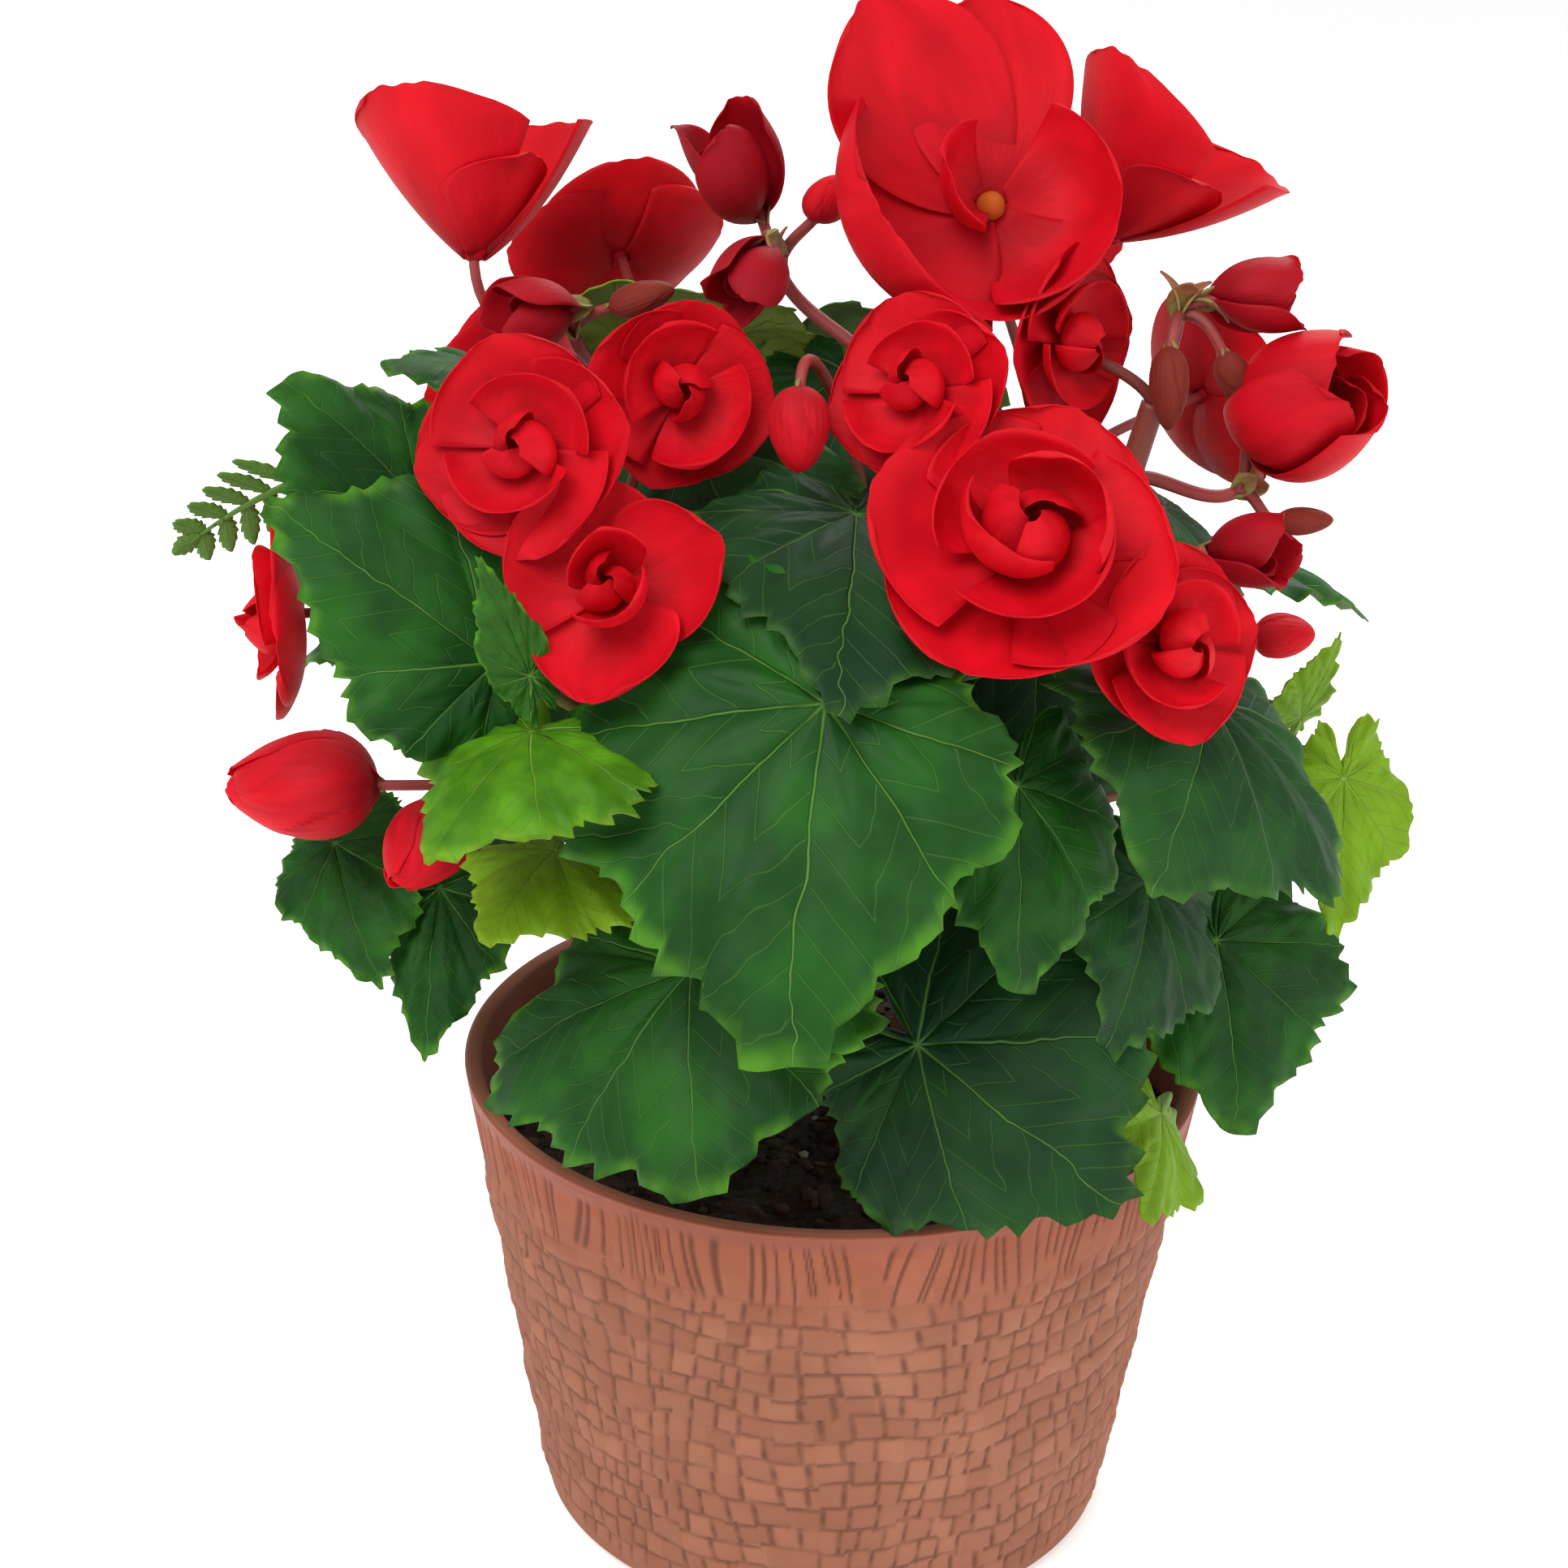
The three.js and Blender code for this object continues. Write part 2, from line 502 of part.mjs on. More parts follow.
function leaf(seat, grow) {
  const frame = leafFrame(seat);
  const spread = 1 + grow / frame.length;
  const at = (angle, share) => {
    const reach = leafReach(angle, seat) * share * spread;
    const rise = (seat.wave ?? LEAF.wave) * share ** 3 * Math.cos(LEAF.waves * angle);
    const [p, q] = [reach * Math.cos(angle), reach * Math.sin(angle) * (seat.wide ?? 1)];
    return leafPoint(frame, seat, p, q, rise);
  };
  const spokes = LEAF.points / 4;
  const points = [at(0, 0)];
  for (let i = 0; i < spokes; i++) points.push(at((2 * Math.PI * i) / spokes, LEAF.inner));
  for (let i = 0; i < LEAF.points; i++) {
    const angle = (2 * Math.PI * i) / LEAF.points;
    points.push(at(angle > Math.PI ? angle - 2 * Math.PI : angle, 1 + (i % 2 ? -LEAF.tooth : LEAF.tooth)));
  }
  const faces = [];
  for (let i = 0; i < spokes; i++) {
    const [a, b] = [1 + i, 1 + ((i + 1) % spokes)];
    const [c, d, e, f, g] = [0, 1, 2, 3, 4].map((step) => 1 + spokes + ((4 * i + step) % LEAF.points));
    faces.push([0, a, b], [a, c, d], [a, d, e], [a, e, b], [b, e, f], [b, f, g]);
  }
  const edge = Array.from({ length: LEAF.points }, (_, i) => 1 + spokes + i);
  const sheet = blade(points, faces, edge, LEAF.thickness + 2 * grow);
  return sheet.add(petiole(seat, frame, grow));
}

// The leaf's stalk, from its stem to where it meets the blade from below.
function petiole(seat, frame, grow) {
  const root = stemCurves[seat.stem].getPointAt(seat.at);
  const out = frame.start.clone().sub(root).setZ(0).normalize().setZ(PETIOLE.rise).normalize();
  const arrive = frame.up.clone().addScaledVector(frame.along, PETIOLE.lean).normalize();
  const radius = PETIOLE.radius + PETIOLE.swell * frame.length + grow;
  return stalk(bow(root, out, frame.start, arrive), radius, PETIOLE.sides, PETIOLE.steps);
}

// A young frond, cut as one sheet: a narrow rib with leaflets in pairs, shorter towards its tip.
function frond(seat, grow) {
  const frame = leafFrame(seat);
  const extra = grow / frame.length;
  const at = (p, q) => leafPoint(frame, seat, p, q);
  const [points, faces, left, right] = [[], [], [], []];
  for (let i = 0; i < FROND.pairs; i++) {
    const start = FROND.first + ((1 - FROND.first) * i) / FROND.pairs;
    const reach = FROND.length * (1 - FROND.shorter * start) + extra;
    const half = FROND.wide / 2 + extra;
    const first = points.length;
    for (const side of [-1, 1]) {
      const rib = side * (FROND.rib + extra);
      const [middle, end] = [rib + side * reach * 0.5, rib + side * reach];
      const forward = FROND.slant * reach;
      points.push(
        at(start - half * 0.5, rib),
        at(start + forward * 0.5 - half, middle),
        at(start + forward, end),
        at(start + forward * 0.5 + half, middle),
        at(start + half * 0.5, rib),
      );
    }
    const [a, b] = [first, first + 5];
    faces.push([a, a + 1, a + 2], [a, a + 2, a + 3], [a, a + 3, a + 4]);
    faces.push([b, b + 2, b + 1], [b, b + 3, b + 2], [b, b + 4, b + 3]);
    faces.push([a, b + 4, b], [a, a + 4, b + 4]);
    if (i) faces.push([a - 6, a, b], [a - 6, b, a - 1]);
    left.push(...[0, 1, 2, 3, 4].map((k) => a + k));
    right.push(...[0, 1, 2, 3, 4].map((k) => b + k));
  }
  const tip = points.length;
  points.push(at(1 + FROND.wide, 0));
  faces.push([tip - 6, tip, tip - 1]);
  const sheet = blade(points, faces, [...left, tip, ...right.reverse()], LEAF.thickness + 2 * grow);
  return sheet.add(petiole(seat, frame, grow));
}

// ---------------------------------------------------------------- flowers
function faceOf({ turn, lift, spin }) {
  const [t, l] = [radians(turn), radians(lift)];
  const axis = new THREE.Vector3(Math.sin(t) * Math.cos(l), -Math.cos(t) * Math.cos(l), Math.sin(l));
  const level = new THREE.Vector3(Math.cos(t), Math.sin(t), 0).applyAxisAngle(axis, radians(spin));
  return { axis, level, rise: new THREE.Vector3().crossVectors(axis, level) };
}

// A petal is a curved spoon with a broad round end: `a` runs from its root to its end and `b` from edge
// to edge. One edge stands in front of the next petal and the other behind it.
function petalPoint(flower, frame, layer, heading, a, b) {
  const share = a - PETAL.round * a * a * b * b;
  const [first, middle, last] = [(1 - share) ** 2, 2 * share * (1 - share), share ** 2];
  const [out, up] = [0, 1].map((k) => first * layer.root[k] + middle * layer.mid[k] + last * layer.end[k]);
  const [outSlope, upSlope] = [0, 1].map(
    (k) => (1 - share) * (layer.mid[k] - layer.root[k]) + share * (layer.end[k] - layer.mid[k]),
  );
  const half = layer.width * Math.sin(Math.PI * (PETAL.start + PETAL.run * a)) ** PETAL.blunt;
  const swing = heading + b * Math.min(half / Math.max(out, 0.05), PETAL.widest);
  const { tilt = 0, cupped = 0 } = layer;
  const lean = (tilt * b + cupped * b * b) / Math.hypot(outSlope, upSlope);
  const radius = flower.size * Math.max(out - lean * upSlope, 0);
  return vector(flower.seat)
    .addScaledVector(frame.level, radius * Math.cos(swing))
    .addScaledVector(frame.rise, radius * Math.sin(swing))
    .addScaledVector(frame.axis, flower.size * (up + lean * outSlope));
}

function petal(flower, frame, layer, heading, grow) {
  const larger = { ...flower, size: flower.size + grow };
  const broader = { ...layer, width: layer.width + (2 * grow) / flower.size };
  const at = (a, b) => petalPoint(larger, frame, broader, heading, a, b);
  const rows = flower.size < PETAL.large ? 2 : 3;
  const points = [at(0, 0)];
  for (let row = 1; row <= rows; row++) points.push(...[-1, 0, 1].map((b) => at(row / rows, b)));
  const faces = [[0, 1, 2], [0, 2, 3]];
  for (let row = 1; row < rows; row++) {
    const [near, far] = [3 * row - 2, 3 * row + 1];
    faces.push([near, far, near + 1], [near + 1, far, far + 1]);
    faces.push([near + 1, far + 1, far + 2], [near + 1, far + 2, near + 2]);
  }
  const left = Array.from({ length: rows }, (_, row) => 3 * row + 1);
  const last = 3 * rows - 1;
  const edge = [0, ...left, last, ...left.map((i) => i + 2).reverse()];
  return blade(points, faces, edge, PETAL.thickness + 2 * grow);
}

// Petals still closed on each other, as in a bud or a flower's heart: fuller at the root, pointed at the end.
function closed(flower, frame, size, flatness) {
  const shape = new THREE.SphereGeometry(1, ...(size < CLOSED.small ? CLOSED.few : CLOSED.many));
  const points = shape.getAttribute("position");
  for (let i = 0; i < points.count; i++) {
    const along = (1 - points.getY(i)) / 2;
    const fullness = CLOSED.full - CLOSED.taper * along;
    const point = vector(flower.seat)
      .addScaledVector(frame.axis, size * (CLOSED.length * along - CLOSED.sunk))
      .addScaledVector(frame.level, size * fullness * points.getX(i))
      .addScaledVector(frame.rise, size * fullness * flatness * points.getZ(i));
    points.setXYZ(i, point.x, point.y, point.z);
  }
  return solid(shape);
}

function flowerHead(flower, grow) {
  const frame = faceOf(flower);
  const kind = flower.kind ?? "open";
  if (kind === "bud") return closed(flower, frame, flower.size + grow, CLOSED.flatness);
  const heart = closed(flower, frame, HEART[kind] * flower.size + grow, 1);
  const petals = LAYERS[kind].flatMap((layer, order) =>
    Array.from({ length: layer.petals }, (_, i) => {
      const heading = (2 * Math.PI * (i + (layer.turn ?? 0.5 * order))) / layer.petals;
      return petal(flower, frame, layer, heading, grow);
    }),
  );
  return union([heart, ...petals]);
}

// One spray: its stalk from the stem, a branch to each flower, and the flowers.
function spray({ stem: grownFrom, at, fork, flowers }, grow) {
  const curve = stemCurves[grownFrom];
  const root = curve.getPointAt(at);
  const rise = curve.getTangentAt(at);
  const radius = PEDICEL.radius + grow;
  const pieces = [];
  let [start, out] = [root, rise];
  if (fork) {
    const end = vector(fork);
    const upright = new THREE.Vector3(0, 0, PEDICEL.upright);
    const arrive = end.clone().sub(root).normalize().add(upright).normalize();
    pieces.push(stalk(bow(root, rise, end, arrive), radius, PEDICEL.sides, PEDICEL.steps));
    pieces.push(solid(new THREE.OctahedronGeometry(PEDICEL.fork * radius).translate(...fork)));
    [start, out] = [end, arrive];
  }
  for (const flower of flowers) {
    const { axis } = faceOf(flower);
    const end = vector(flower.seat).addScaledVector(axis, PEDICEL.sunk * flower.size);
    const way = end.clone().sub(start).normalize().add(out).normalize();
    pieces.push(stalk(bow(start, way, end, axis), radius, PEDICEL.sides, PEDICEL.steps));
    pieces.push(flowerHead(flower, grow));
  }
  return union(pieces);
}

// ---------------------------------------------------------------- the plant, put together
// Each piece keeps a thin gap to those placed before it: what would touch them is cut clear.
const group = new THREE.Group();
const taken = [];

function place(name, make, material) {
  let body = make(0);
  for (const { clearance, box } of taken) {
    const mine = body.boundingBox();
    const apart = [0, 1, 2].some((k) => mine.min[k] > box.max[k] || mine.max[k] < box.min[k]);
    if (!apart) body = body.subtract(clearance);
  }
  body = largest(body);
  const clearance = make(GAP);
  taken.push({ clearance, box: clearance.boundingBox() });
  const mesh = new THREE.Mesh(geometryOf(body), material);
  mesh.name = name;
  group.add(mesh);
}

const number = (i) => String(i + 1).padStart(2, "0");
place("pot", (grow) => (grow ? solid(turned(potProfile(grow), POT.sides)) : pot()), CLAY);
stemCurves.forEach((curve, i) => place(`stem_${i + 1}`, (grow) => stem(curve, grow), STEM_SKIN));
place("soil", soil, EARTH);
SPRAYS.forEach((one) => place(one.name, (grow) => spray(one, grow), PETAL_SKIN));
LEAVES.forEach((one, i) => {
  const skin = one.young ? YOUNG_SKIN : LEAF_SKIN;
  place(`leaf_${number(i)}`, (grow) => (one.frond ? frond : leaf)(one, grow), skin);
});

export default group;
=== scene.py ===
"""The looks of the potted begonia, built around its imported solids.

Sizes are in millimetres until a mesh is made.
"""
import math
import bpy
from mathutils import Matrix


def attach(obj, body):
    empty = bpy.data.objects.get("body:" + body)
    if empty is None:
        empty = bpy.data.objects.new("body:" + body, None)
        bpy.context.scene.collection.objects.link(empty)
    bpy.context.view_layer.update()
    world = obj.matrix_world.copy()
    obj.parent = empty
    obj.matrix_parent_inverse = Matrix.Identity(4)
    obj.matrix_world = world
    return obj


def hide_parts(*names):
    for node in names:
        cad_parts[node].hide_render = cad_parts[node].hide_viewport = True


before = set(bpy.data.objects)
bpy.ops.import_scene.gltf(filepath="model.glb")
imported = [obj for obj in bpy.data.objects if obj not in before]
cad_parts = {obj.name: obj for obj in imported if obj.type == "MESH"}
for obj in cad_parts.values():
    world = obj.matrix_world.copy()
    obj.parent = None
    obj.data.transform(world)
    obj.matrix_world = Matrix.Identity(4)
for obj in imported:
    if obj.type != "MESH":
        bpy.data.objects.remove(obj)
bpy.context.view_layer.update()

from types import SimpleNamespace as Sizes

import bpy
import numpy as np
from mathutils import Matrix, Vector

# -------------------- the pot
# One thrown and tapered pot of matt clay. Its wall is pressed all round with small uneven blocks like a woven
# basket, which turn to upright slits under a smooth fired lip. Three holes in its floor let water out.
MM = 0.001
TURN = 2 * math.pi
POT = Sizes(height=96, rim=72.5, foot=57, foot_round=5, wall=3.4, floor=4, lip=1.7)
BLOCKS = Sizes(columns=78, pitch=5.5, radius=65, drift=0.55, sag=0.12, shift=0.22, lift=0.14, gone=0.1,
               stand=0.6, uneven=0.2, groove=0.4, bulges=17, bulge_rise=10.4, bulge=0.35)
SLITS = Sizes(count=190, start=77, plain=95, radius=70, drift=1.1, shift=0.35, gone=0.12, foot=(64, 86),
              top=(93.5, 96), uneven=0.2, depth=0.42)
NO_JOINT = 9.0
WAVES = 7
DRAINS = Sizes(radius=4, count=3, ring=30, first=0.25, low=-6, high=12, sides=48)
SIDES, HEIGHTS = ((1080, 190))


def linear(level):
    """A level of 0 to 255 on a screen, as the share of light that a shader takes."""
    share = level / 255
    return share / 12.92 if level < 11 else ((share + 0.055) / 1.055) ** 2.4


def paint(red, green, blue):
    return linear(red), linear(green), linear(blue), 1


class Value:
    """One output of a finish's nodes, which takes part in sums."""

    def __init__(self, finish, socket):
        self.finish, self.socket = finish, socket

    def math(self, operation, *others):
        return self.finish.node("Math", {"operation": operation}, dict(enumerate((self, *others))))

    def __add__(self, other):
        return self.math("ADD", other)

    def __sub__(self, other):
        return self.math("SUBTRACT", other)

    def __mul__(self, other):
        return self.math("MULTIPLY", other)

    def __truediv__(self, other):
        return self.math("DIVIDE", other)

    def __rsub__(self, other):
        return self.finish.node("Math", {"operation": "SUBTRACT"}, {0: other, 1: self})

    __radd__, __rmul__ = __add__, __mul__


class Finish:
    """A material whose nodes are made one by one."""

    def __init__(self, name, **constants):
        self.material = bpy.data.materials.new(name)
        self.material.use_nodes = True
        self.tree = self.material.node_tree
        self.shader = self.tree.nodes["Principled BSDF"]
        for socket, value in constants.items():
            self.shader.inputs[socket.replace("_", " ").title().replace("Ior", "IOR")].default_value = value

    def node(self, kind, settings=None, sockets=None, output=0):
        made = self.tree.nodes.new("ShaderNode" + kind)
        for key, value in (settings or {}).items():
            setattr(made, key, value)
        self.fill(made, sockets or {})
        return Value(self, made.outputs[output])

    def fill(self, made, sockets):
        for key, value in sockets.items():
            if isinstance(value, Value):
                self.tree.links.new(value.socket, made.inputs[key])
            else:
                made.inputs[key].default_value = value

    def read(self, name):
        """The three numbers that the mesh keeps at each point under a name."""
        vector = self.node("Attribute", {"attribute_name": name}, output="Vector")
        return [self.node("SeparateXYZ", {}, {0: vector}, output) for output in (0, 1, 2)]

    def place(self, x, y, z):
        return self.node("CombineXYZ", {}, {0: x, 1: y, 2: z})

    def body_place(self):
        return self.node("TexCoord", output="Object")

    def noise(self, where, scale, detail=3.0, rough=0.5):
        sockets = {"Vector": where, "Scale": scale, "Detail": detail, "Roughness": rough}
        return self.node("TexNoise", {}, sockets)

    def step(self, value, low, high):
        """0 below low and 1 above high, eased in between; high may be the lower one."""
        sockets = {"Value": value, "From Min": low, "From Max": high}
        return self.node("MapRange", {"interpolation_type": "SMOOTHSTEP"}, sockets)

    def mix(self, share, first, second):
        return self.node("Mix", {"data_type": "RGBA"}, {0: share, 6: first, 7: second}, 2)

    def coats(self, color, *coats):
        """Lays more colours over a first one, each by its share."""
        for share, coat in coats:
            color = self.mix(share, color, coat)
        return color

    def cover(self, color, roughness, height=None, depth=0, strength=0):
        """Gives the shader its colour and roughness, and the bumps of a height in shares of depth."""
        self.fill(self.shader, {"Base Color": color, "Roughness": roughness})
        if height is not None:
            bump = self.node("Bump", {}, {"Height": height, "Distance": depth, "Strength": strength})
            self.fill(self.shader, {"Normal": bump})
        return self.material


def placed(name, data):
    made = bpy.data.objects.new(name, data)
    bpy.context.scene.collection.objects.link(made)
    return made


class Form:
    """The closed bodies of one piece, with three numbers kept at each point under each mark's name."""

    def __init__(self):
        self.points, self.faces, self.marks, self.count = [], [], {}, 0

    def add(self, points, faces, **marks):
        self.points.append(points)
        self.faces += [group + self.count for group in faces]
        for name, values in marks.items():
            rows = np.broadcast_to(np.asarray(values, float), (len(points), 3))
            self.marks.setdefault(name, []).append(rows)
        self.count += len(points)

    def piece(self, name, nodes, material, slot):
        mesh = bpy.data.meshes.new(name)
        points = np.concatenate(self.points) * MM
        mesh.vertices.add(len(points))
        mesh.vertices.foreach_set("co", points.astype(np.float32).ravel())
        corners = np.concatenate([group.ravel() for group in self.faces])
        sizes = np.concatenate([np.full(len(group), group.shape[1]) for group in self.faces])
        mesh.loops.add(len(corners))
        mesh.loops.foreach_set("vertex_index", corners.astype(np.int32))
        mesh.polygons.add(len(sizes))
        starts = np.cumsum(sizes) - sizes
        mesh.polygons.foreach_set("loop_start", starts.astype(np.int32))
        mesh.update(calc_edges=True)
        mesh.validate()
        mesh.shade_smooth()
        for mark, rows in self.marks.items():
            held = mesh.attributes.new(mark, "FLOAT_VECTOR", "POINT")
            held.data.foreach_set("vector", np.concatenate(rows).astype(np.float32).ravel())
        made = placed(name, mesh)
        mesh.materials.append(material)
        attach(made, "root")
        if nodes:
            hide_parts(*nodes)
        return made


def waves(around, up, seed, finest=9, rise=0.12):
    """Smooth uneven numbers of about -1 to 1 that close on themselves round the pot."""
    draw = np.random.default_rng(seed)
    total = 0
    for _ in range(WAVES):
        turns, slope = draw.integers(1, finest), draw.uniform(-rise, rise)
        total = total + np.sin(turns * around + slope * up + draw.uniform(0, 6.3))
    return total / math.sqrt(WAVES)


def ease(value, low, high):
    share = np.clip((value - low) / (high - low), 0, 1)
    return share * share * (3 - 2 * share)


def wall_radius(z):
    return POT.foot + (POT.rim - POT.foot) * z / POT.height


def nearest_joint(x, row, shift, gone):
    """Distance to the nearest joint in a row of blocks, in block widths, and the block's number."""
    columns = shift.shape[1]
    column = np.floor(x).astype(int)
    nearest = np.full(x.shape, NO_JOINT)
    for k in (-1, 0, 1, 2):
        there = (column + k) % columns
        gap = np.abs(x - column - k - shift[row, there])
        nearest = np.minimum(nearest, np.where(gone[row, there], NO_JOINT, gap))
    return nearest, column % columns


def joints(draw, reach, share, shape):
    """How far each joint lies from its place, up to reach, and which share of the joints is gone."""
    return draw.uniform(-reach, reach, shape), draw.random(shape) < share


def pressed(around, up):
    """How far the wall stands out, its groove share and its tone, at an angle and a height."""
    draw = np.random.default_rng(11)
    columns, pitch = BLOCKS.columns, BLOCKS.pitch
    rows = int(POT.height / pitch) + 4
    u = around / TURN * columns + BLOCKS.drift * waves(around, up, 3)
    v = up / pitch + 1.5 + BLOCKS.sag * waves(around, up, 4, finest=14)
    row = np.clip(np.floor(v).astype(int), 0, rows - 2)
    start = 0.3 * (np.arange(rows) % 2) + draw.uniform(-0.2, 0.2, rows)
    shift, gone = joints(draw, BLOCKS.shift, BLOCKS.gone, (rows, columns))
    side, column = nearest_joint(u + start[row], row, shift, gone)
    lift, open_ = joints(draw, BLOCKS.lift, BLOCKS.gone, (rows, columns))
    here = np.floor(u).astype(int) % columns
    below, above = (np.where(open_[k, here], NO_JOINT, np.abs(v - k - lift[k, here])) for k in (row, row + 1))
    width = TURN * BLOCKS.radius / columns
    beside, level = side * width, np.minimum(below, above) * pitch
    tone = draw.random((rows, columns))[row, column]
    groove_strength = ease(waves(2 * around, 6 * up, 8, finest=30, rise=0.3), -0.9, 0.8)
    upright, lying = 1 - ease(beside, 0.12, 0.75), 1 - ease(level, 0.1, 0.7)
    groove = np.maximum((0.5 + 0.45 * groove_strength) * upright, (0.42 + 0.4 * groove_strength) * lying)
    out = BLOCKS.stand * ease(np.minimum(beside, level), 0.1, 2.6) + BLOCKS.uneven * (tone - 0.5)
    out = out - BLOCKS.groove * groove

    slits = SLITS.count
    s = around / TURN * slits + SLITS.drift * waves(around, up, 5, finest=20, rise=0.1)
    shift, gone = joints(draw, SLITS.shift, SLITS.gone, (1, slits))
    gap, number = nearest_joint(s, np.zeros(s.shape, int), shift, gone)
    foot, top = (draw.uniform(*ends, slits)[number] for ends in (SLITS.foot, SLITS.top))
    slit = 1 - ease(gap * TURN * SLITS.radius / slits, 0.1, 0.5)
    slit = slit * ease(up, foot, foot + 2) * (1 - ease(up, top - 2, top))
    share = ease(up, SLITS.start, SLITS.start + 4)
    out = out * (1 - share) + share * (SLITS.uneven * draw.random(slits)[number] - SLITS.depth * slit)
    groove = np.maximum(groove * (1 - share), share * slit)
    fade = ease(up, 2.5, 6) * (1 - ease(up, SLITS.plain - 1.2, SLITS.plain))
    bulge_up = math.pi * (up - POT.foot_round) / BLOCKS.bulge_rise
    bulge = np.cos(BLOCKS.bulges * around) * np.cos(bulge_up)
    out = 0.8 * out + BLOCKS.bulge * bulge * (1 - share)
    return out * fade, groove * fade, 0.5 + (tone - 0.5) * fade


def ring_angles(count):
    return np.arange(count) * TURN / count


def ring_faces(rings, around, flipped=False):
    """The faces of rings of points between two end points: first end, side, last end."""
    here = np.arange(around)
    there = (here + 1) % around
    low = 1 + around * np.arange(rings)[:, None]
    side = np.stack([low[:-1] + here, low[:-1] + there, low[1:] + there, low[1:] + here], -1).reshape(-1, 4)
    first = np.stack([0 * here, 1 + there, 1 + here], 1)
    last = np.stack([0 * here + 1 + rings * around, low[-1] + here, low[-1] + there], 1)
    groups = [first, side, last]
    return [np.roll(group[:, ::-1], 1, 1) for group in groups] if flipped else groups


def turned(profile, sides, lift=0):
    """A closed body turned about the pot's axis; lift moves points out from the axis by row and side."""
    radius, height = np.array(profile[1:-1], float).T[:, :, None]
    turn = ring_angles(sides)
    reach = radius + lift + 0 * turn
    rings = np.stack([reach * np.cos(turn), reach * np.sin(turn), height + 0 * reach], -1)
    points = np.vstack([[0, 0, profile[0][1]], rings.reshape(-1, 3), [0, 0, profile[-1][1]]])
    return points, ring_faces(len(radius), sides)


half_wall, half_lip = POT.wall / 2, POT.lip / 2
heights = np.linspace(1.8, POT.height - half_lip, HEIGHTS)
heel = wall_radius(0) - POT.foot_round
foot = [(wall_radius(0) - POT.foot_round * k, 0) for k in (9, 5, 1)]
foot += [(heel + 3.6 * math.sin(a), 1.8 * (1 - math.cos(a))) for a in (0.5, 1, 1.4)]
lip = [(POT.rim - half_wall + half_wall * math.cos(a), POT.height - half_lip + half_lip * math.sin(a))
       for a in np.linspace(0.25, math.pi - 0.1, 10)]
inside = [(wall_radius(z) - POT.wall, z) for z in np.linspace(POT.height - 1.5, POT.floor + 4, 26)]
corner = wall_radius(POT.floor) - POT.wall
inside += [(corner - 1.2, POT.floor + 1.2), (corner - 4, POT.floor)]
profile = [(0, 0), *foot, *[(wall_radius(z), z) for z in heights], *lip, *inside, (0, POT.floor)]
out, groove, tone = pressed(*np.meshgrid(ring_angles(SIDES), heights))
# Kept at each point of the wall: its groove share, its block's tone and its height as a share, less 2 inside.
marks = np.zeros((len(profile) - 2, SIDES, 3))
lift = np.zeros(marks.shape[:2])
pressed_rows = slice(len(foot), len(foot) + len(heights))
lift[pressed_rows] = out
marks[:, :, 1] = 0.5
marks[pressed_rows, :, 0], marks[pressed_rows, :, 1] = groove, tone
marks[:, :, 2] = np.array([z for _, z in profile[1:-1]])[:, None] / POT.height
marks[pressed_rows.stop + 3:, :, 2] -= 2
points, faces = turned(profile, SIDES, lift)

clay = Finish("pressed_clay", specular_ior_level=0.35)
in_groove, block_tone, level = clay.read("clay")
where = clay.body_place()
mottle = clay.noise(where, 60, 4, 0.6)
grain = clay.noise(where, 900, 3, 0.6)
lip_share = clay.step(level, 0.952, 0.966)
color = clay.coats(
    clay.mix(block_tone, paint(142, 88, 66), paint(158, 101, 77)),
    (clay.step(mottle, 0.35, 0.7) * 0.5, paint(134, 82, 60)),
    (clay.step(clay.noise(where, 22, 2), 0.5, 0.75) * 0.35, paint(170, 114, 90)),
    (clay.step(level, 0.7, 0.97) * 0.5, paint(160, 76, 48)),
    # Painted shade: the groove share darkens the clay, standing in for shade in the pressed recesses.
    (in_groove * 0.8, paint(92, 52, 36)),
    (lip_share * 0.6, paint(140, 68, 48)),
    (clay.step(level, -0.9, -1.2), paint(134, 66, 46)),
)
rough = 0.78 - lip_share * 0.3 + grain * 0.1
clay.cover(color, rough, grain * 0.5 + mottle, 0.0004, 0.5)

pot = Form()
pot.add(points, faces, clay=np.vstack([[0, 0.5, 0], marks.reshape(-1, 3), [0, 0.5, -2]]))
pot_body = pot.piece("pot_wall", ["pot"], clay.material, "pot_clay")
cutters = Form()
drain = [(0, DRAINS.low), (DRAINS.radius, DRAINS.low), (DRAINS.radius, DRAINS.high), (0, DRAINS.high)]
for i in range(DRAINS.count):
    turn_to = TURN * (i + DRAINS.first) / DRAINS.count
    middle = np.array([DRAINS.ring * math.cos(turn_to), DRAINS.ring * math.sin(turn_to), 0])
    rod, rod_faces = turned(drain, DRAINS.sides)
    cutters.add(rod + middle, rod_faces)
drill = cutters.piece("drill", [], clay.material, None)
cut = pot_body.modifiers.new("drains", "BOOLEAN")
cut.operation, cut.solver, cut.object = "DIFFERENCE", "MANIFOLD", drill
drilled = bpy.data.meshes.new_from_object(pot_body.evaluated_get(bpy.context.evaluated_depsgraph_get()))
pot_body.modifiers.clear()
pot_body.data = drilled
bpy.data.objects.remove(drill)

# -------------------- the potting soil
# Dark peat, slightly crowned, with crumbs, bark and a few pale grains pressed into its top. It fills the
# pot to 12 mm under the lip, and the stems stand in it.
SOIL = Sizes(top=82, crown=3, clear=0.6, crumbs=900, crumbs_to=66.5, pale=0.05,
             long=0.3)


def inner_radius(z):
    return wall_radius(z) - POT.wall - SOIL.clear


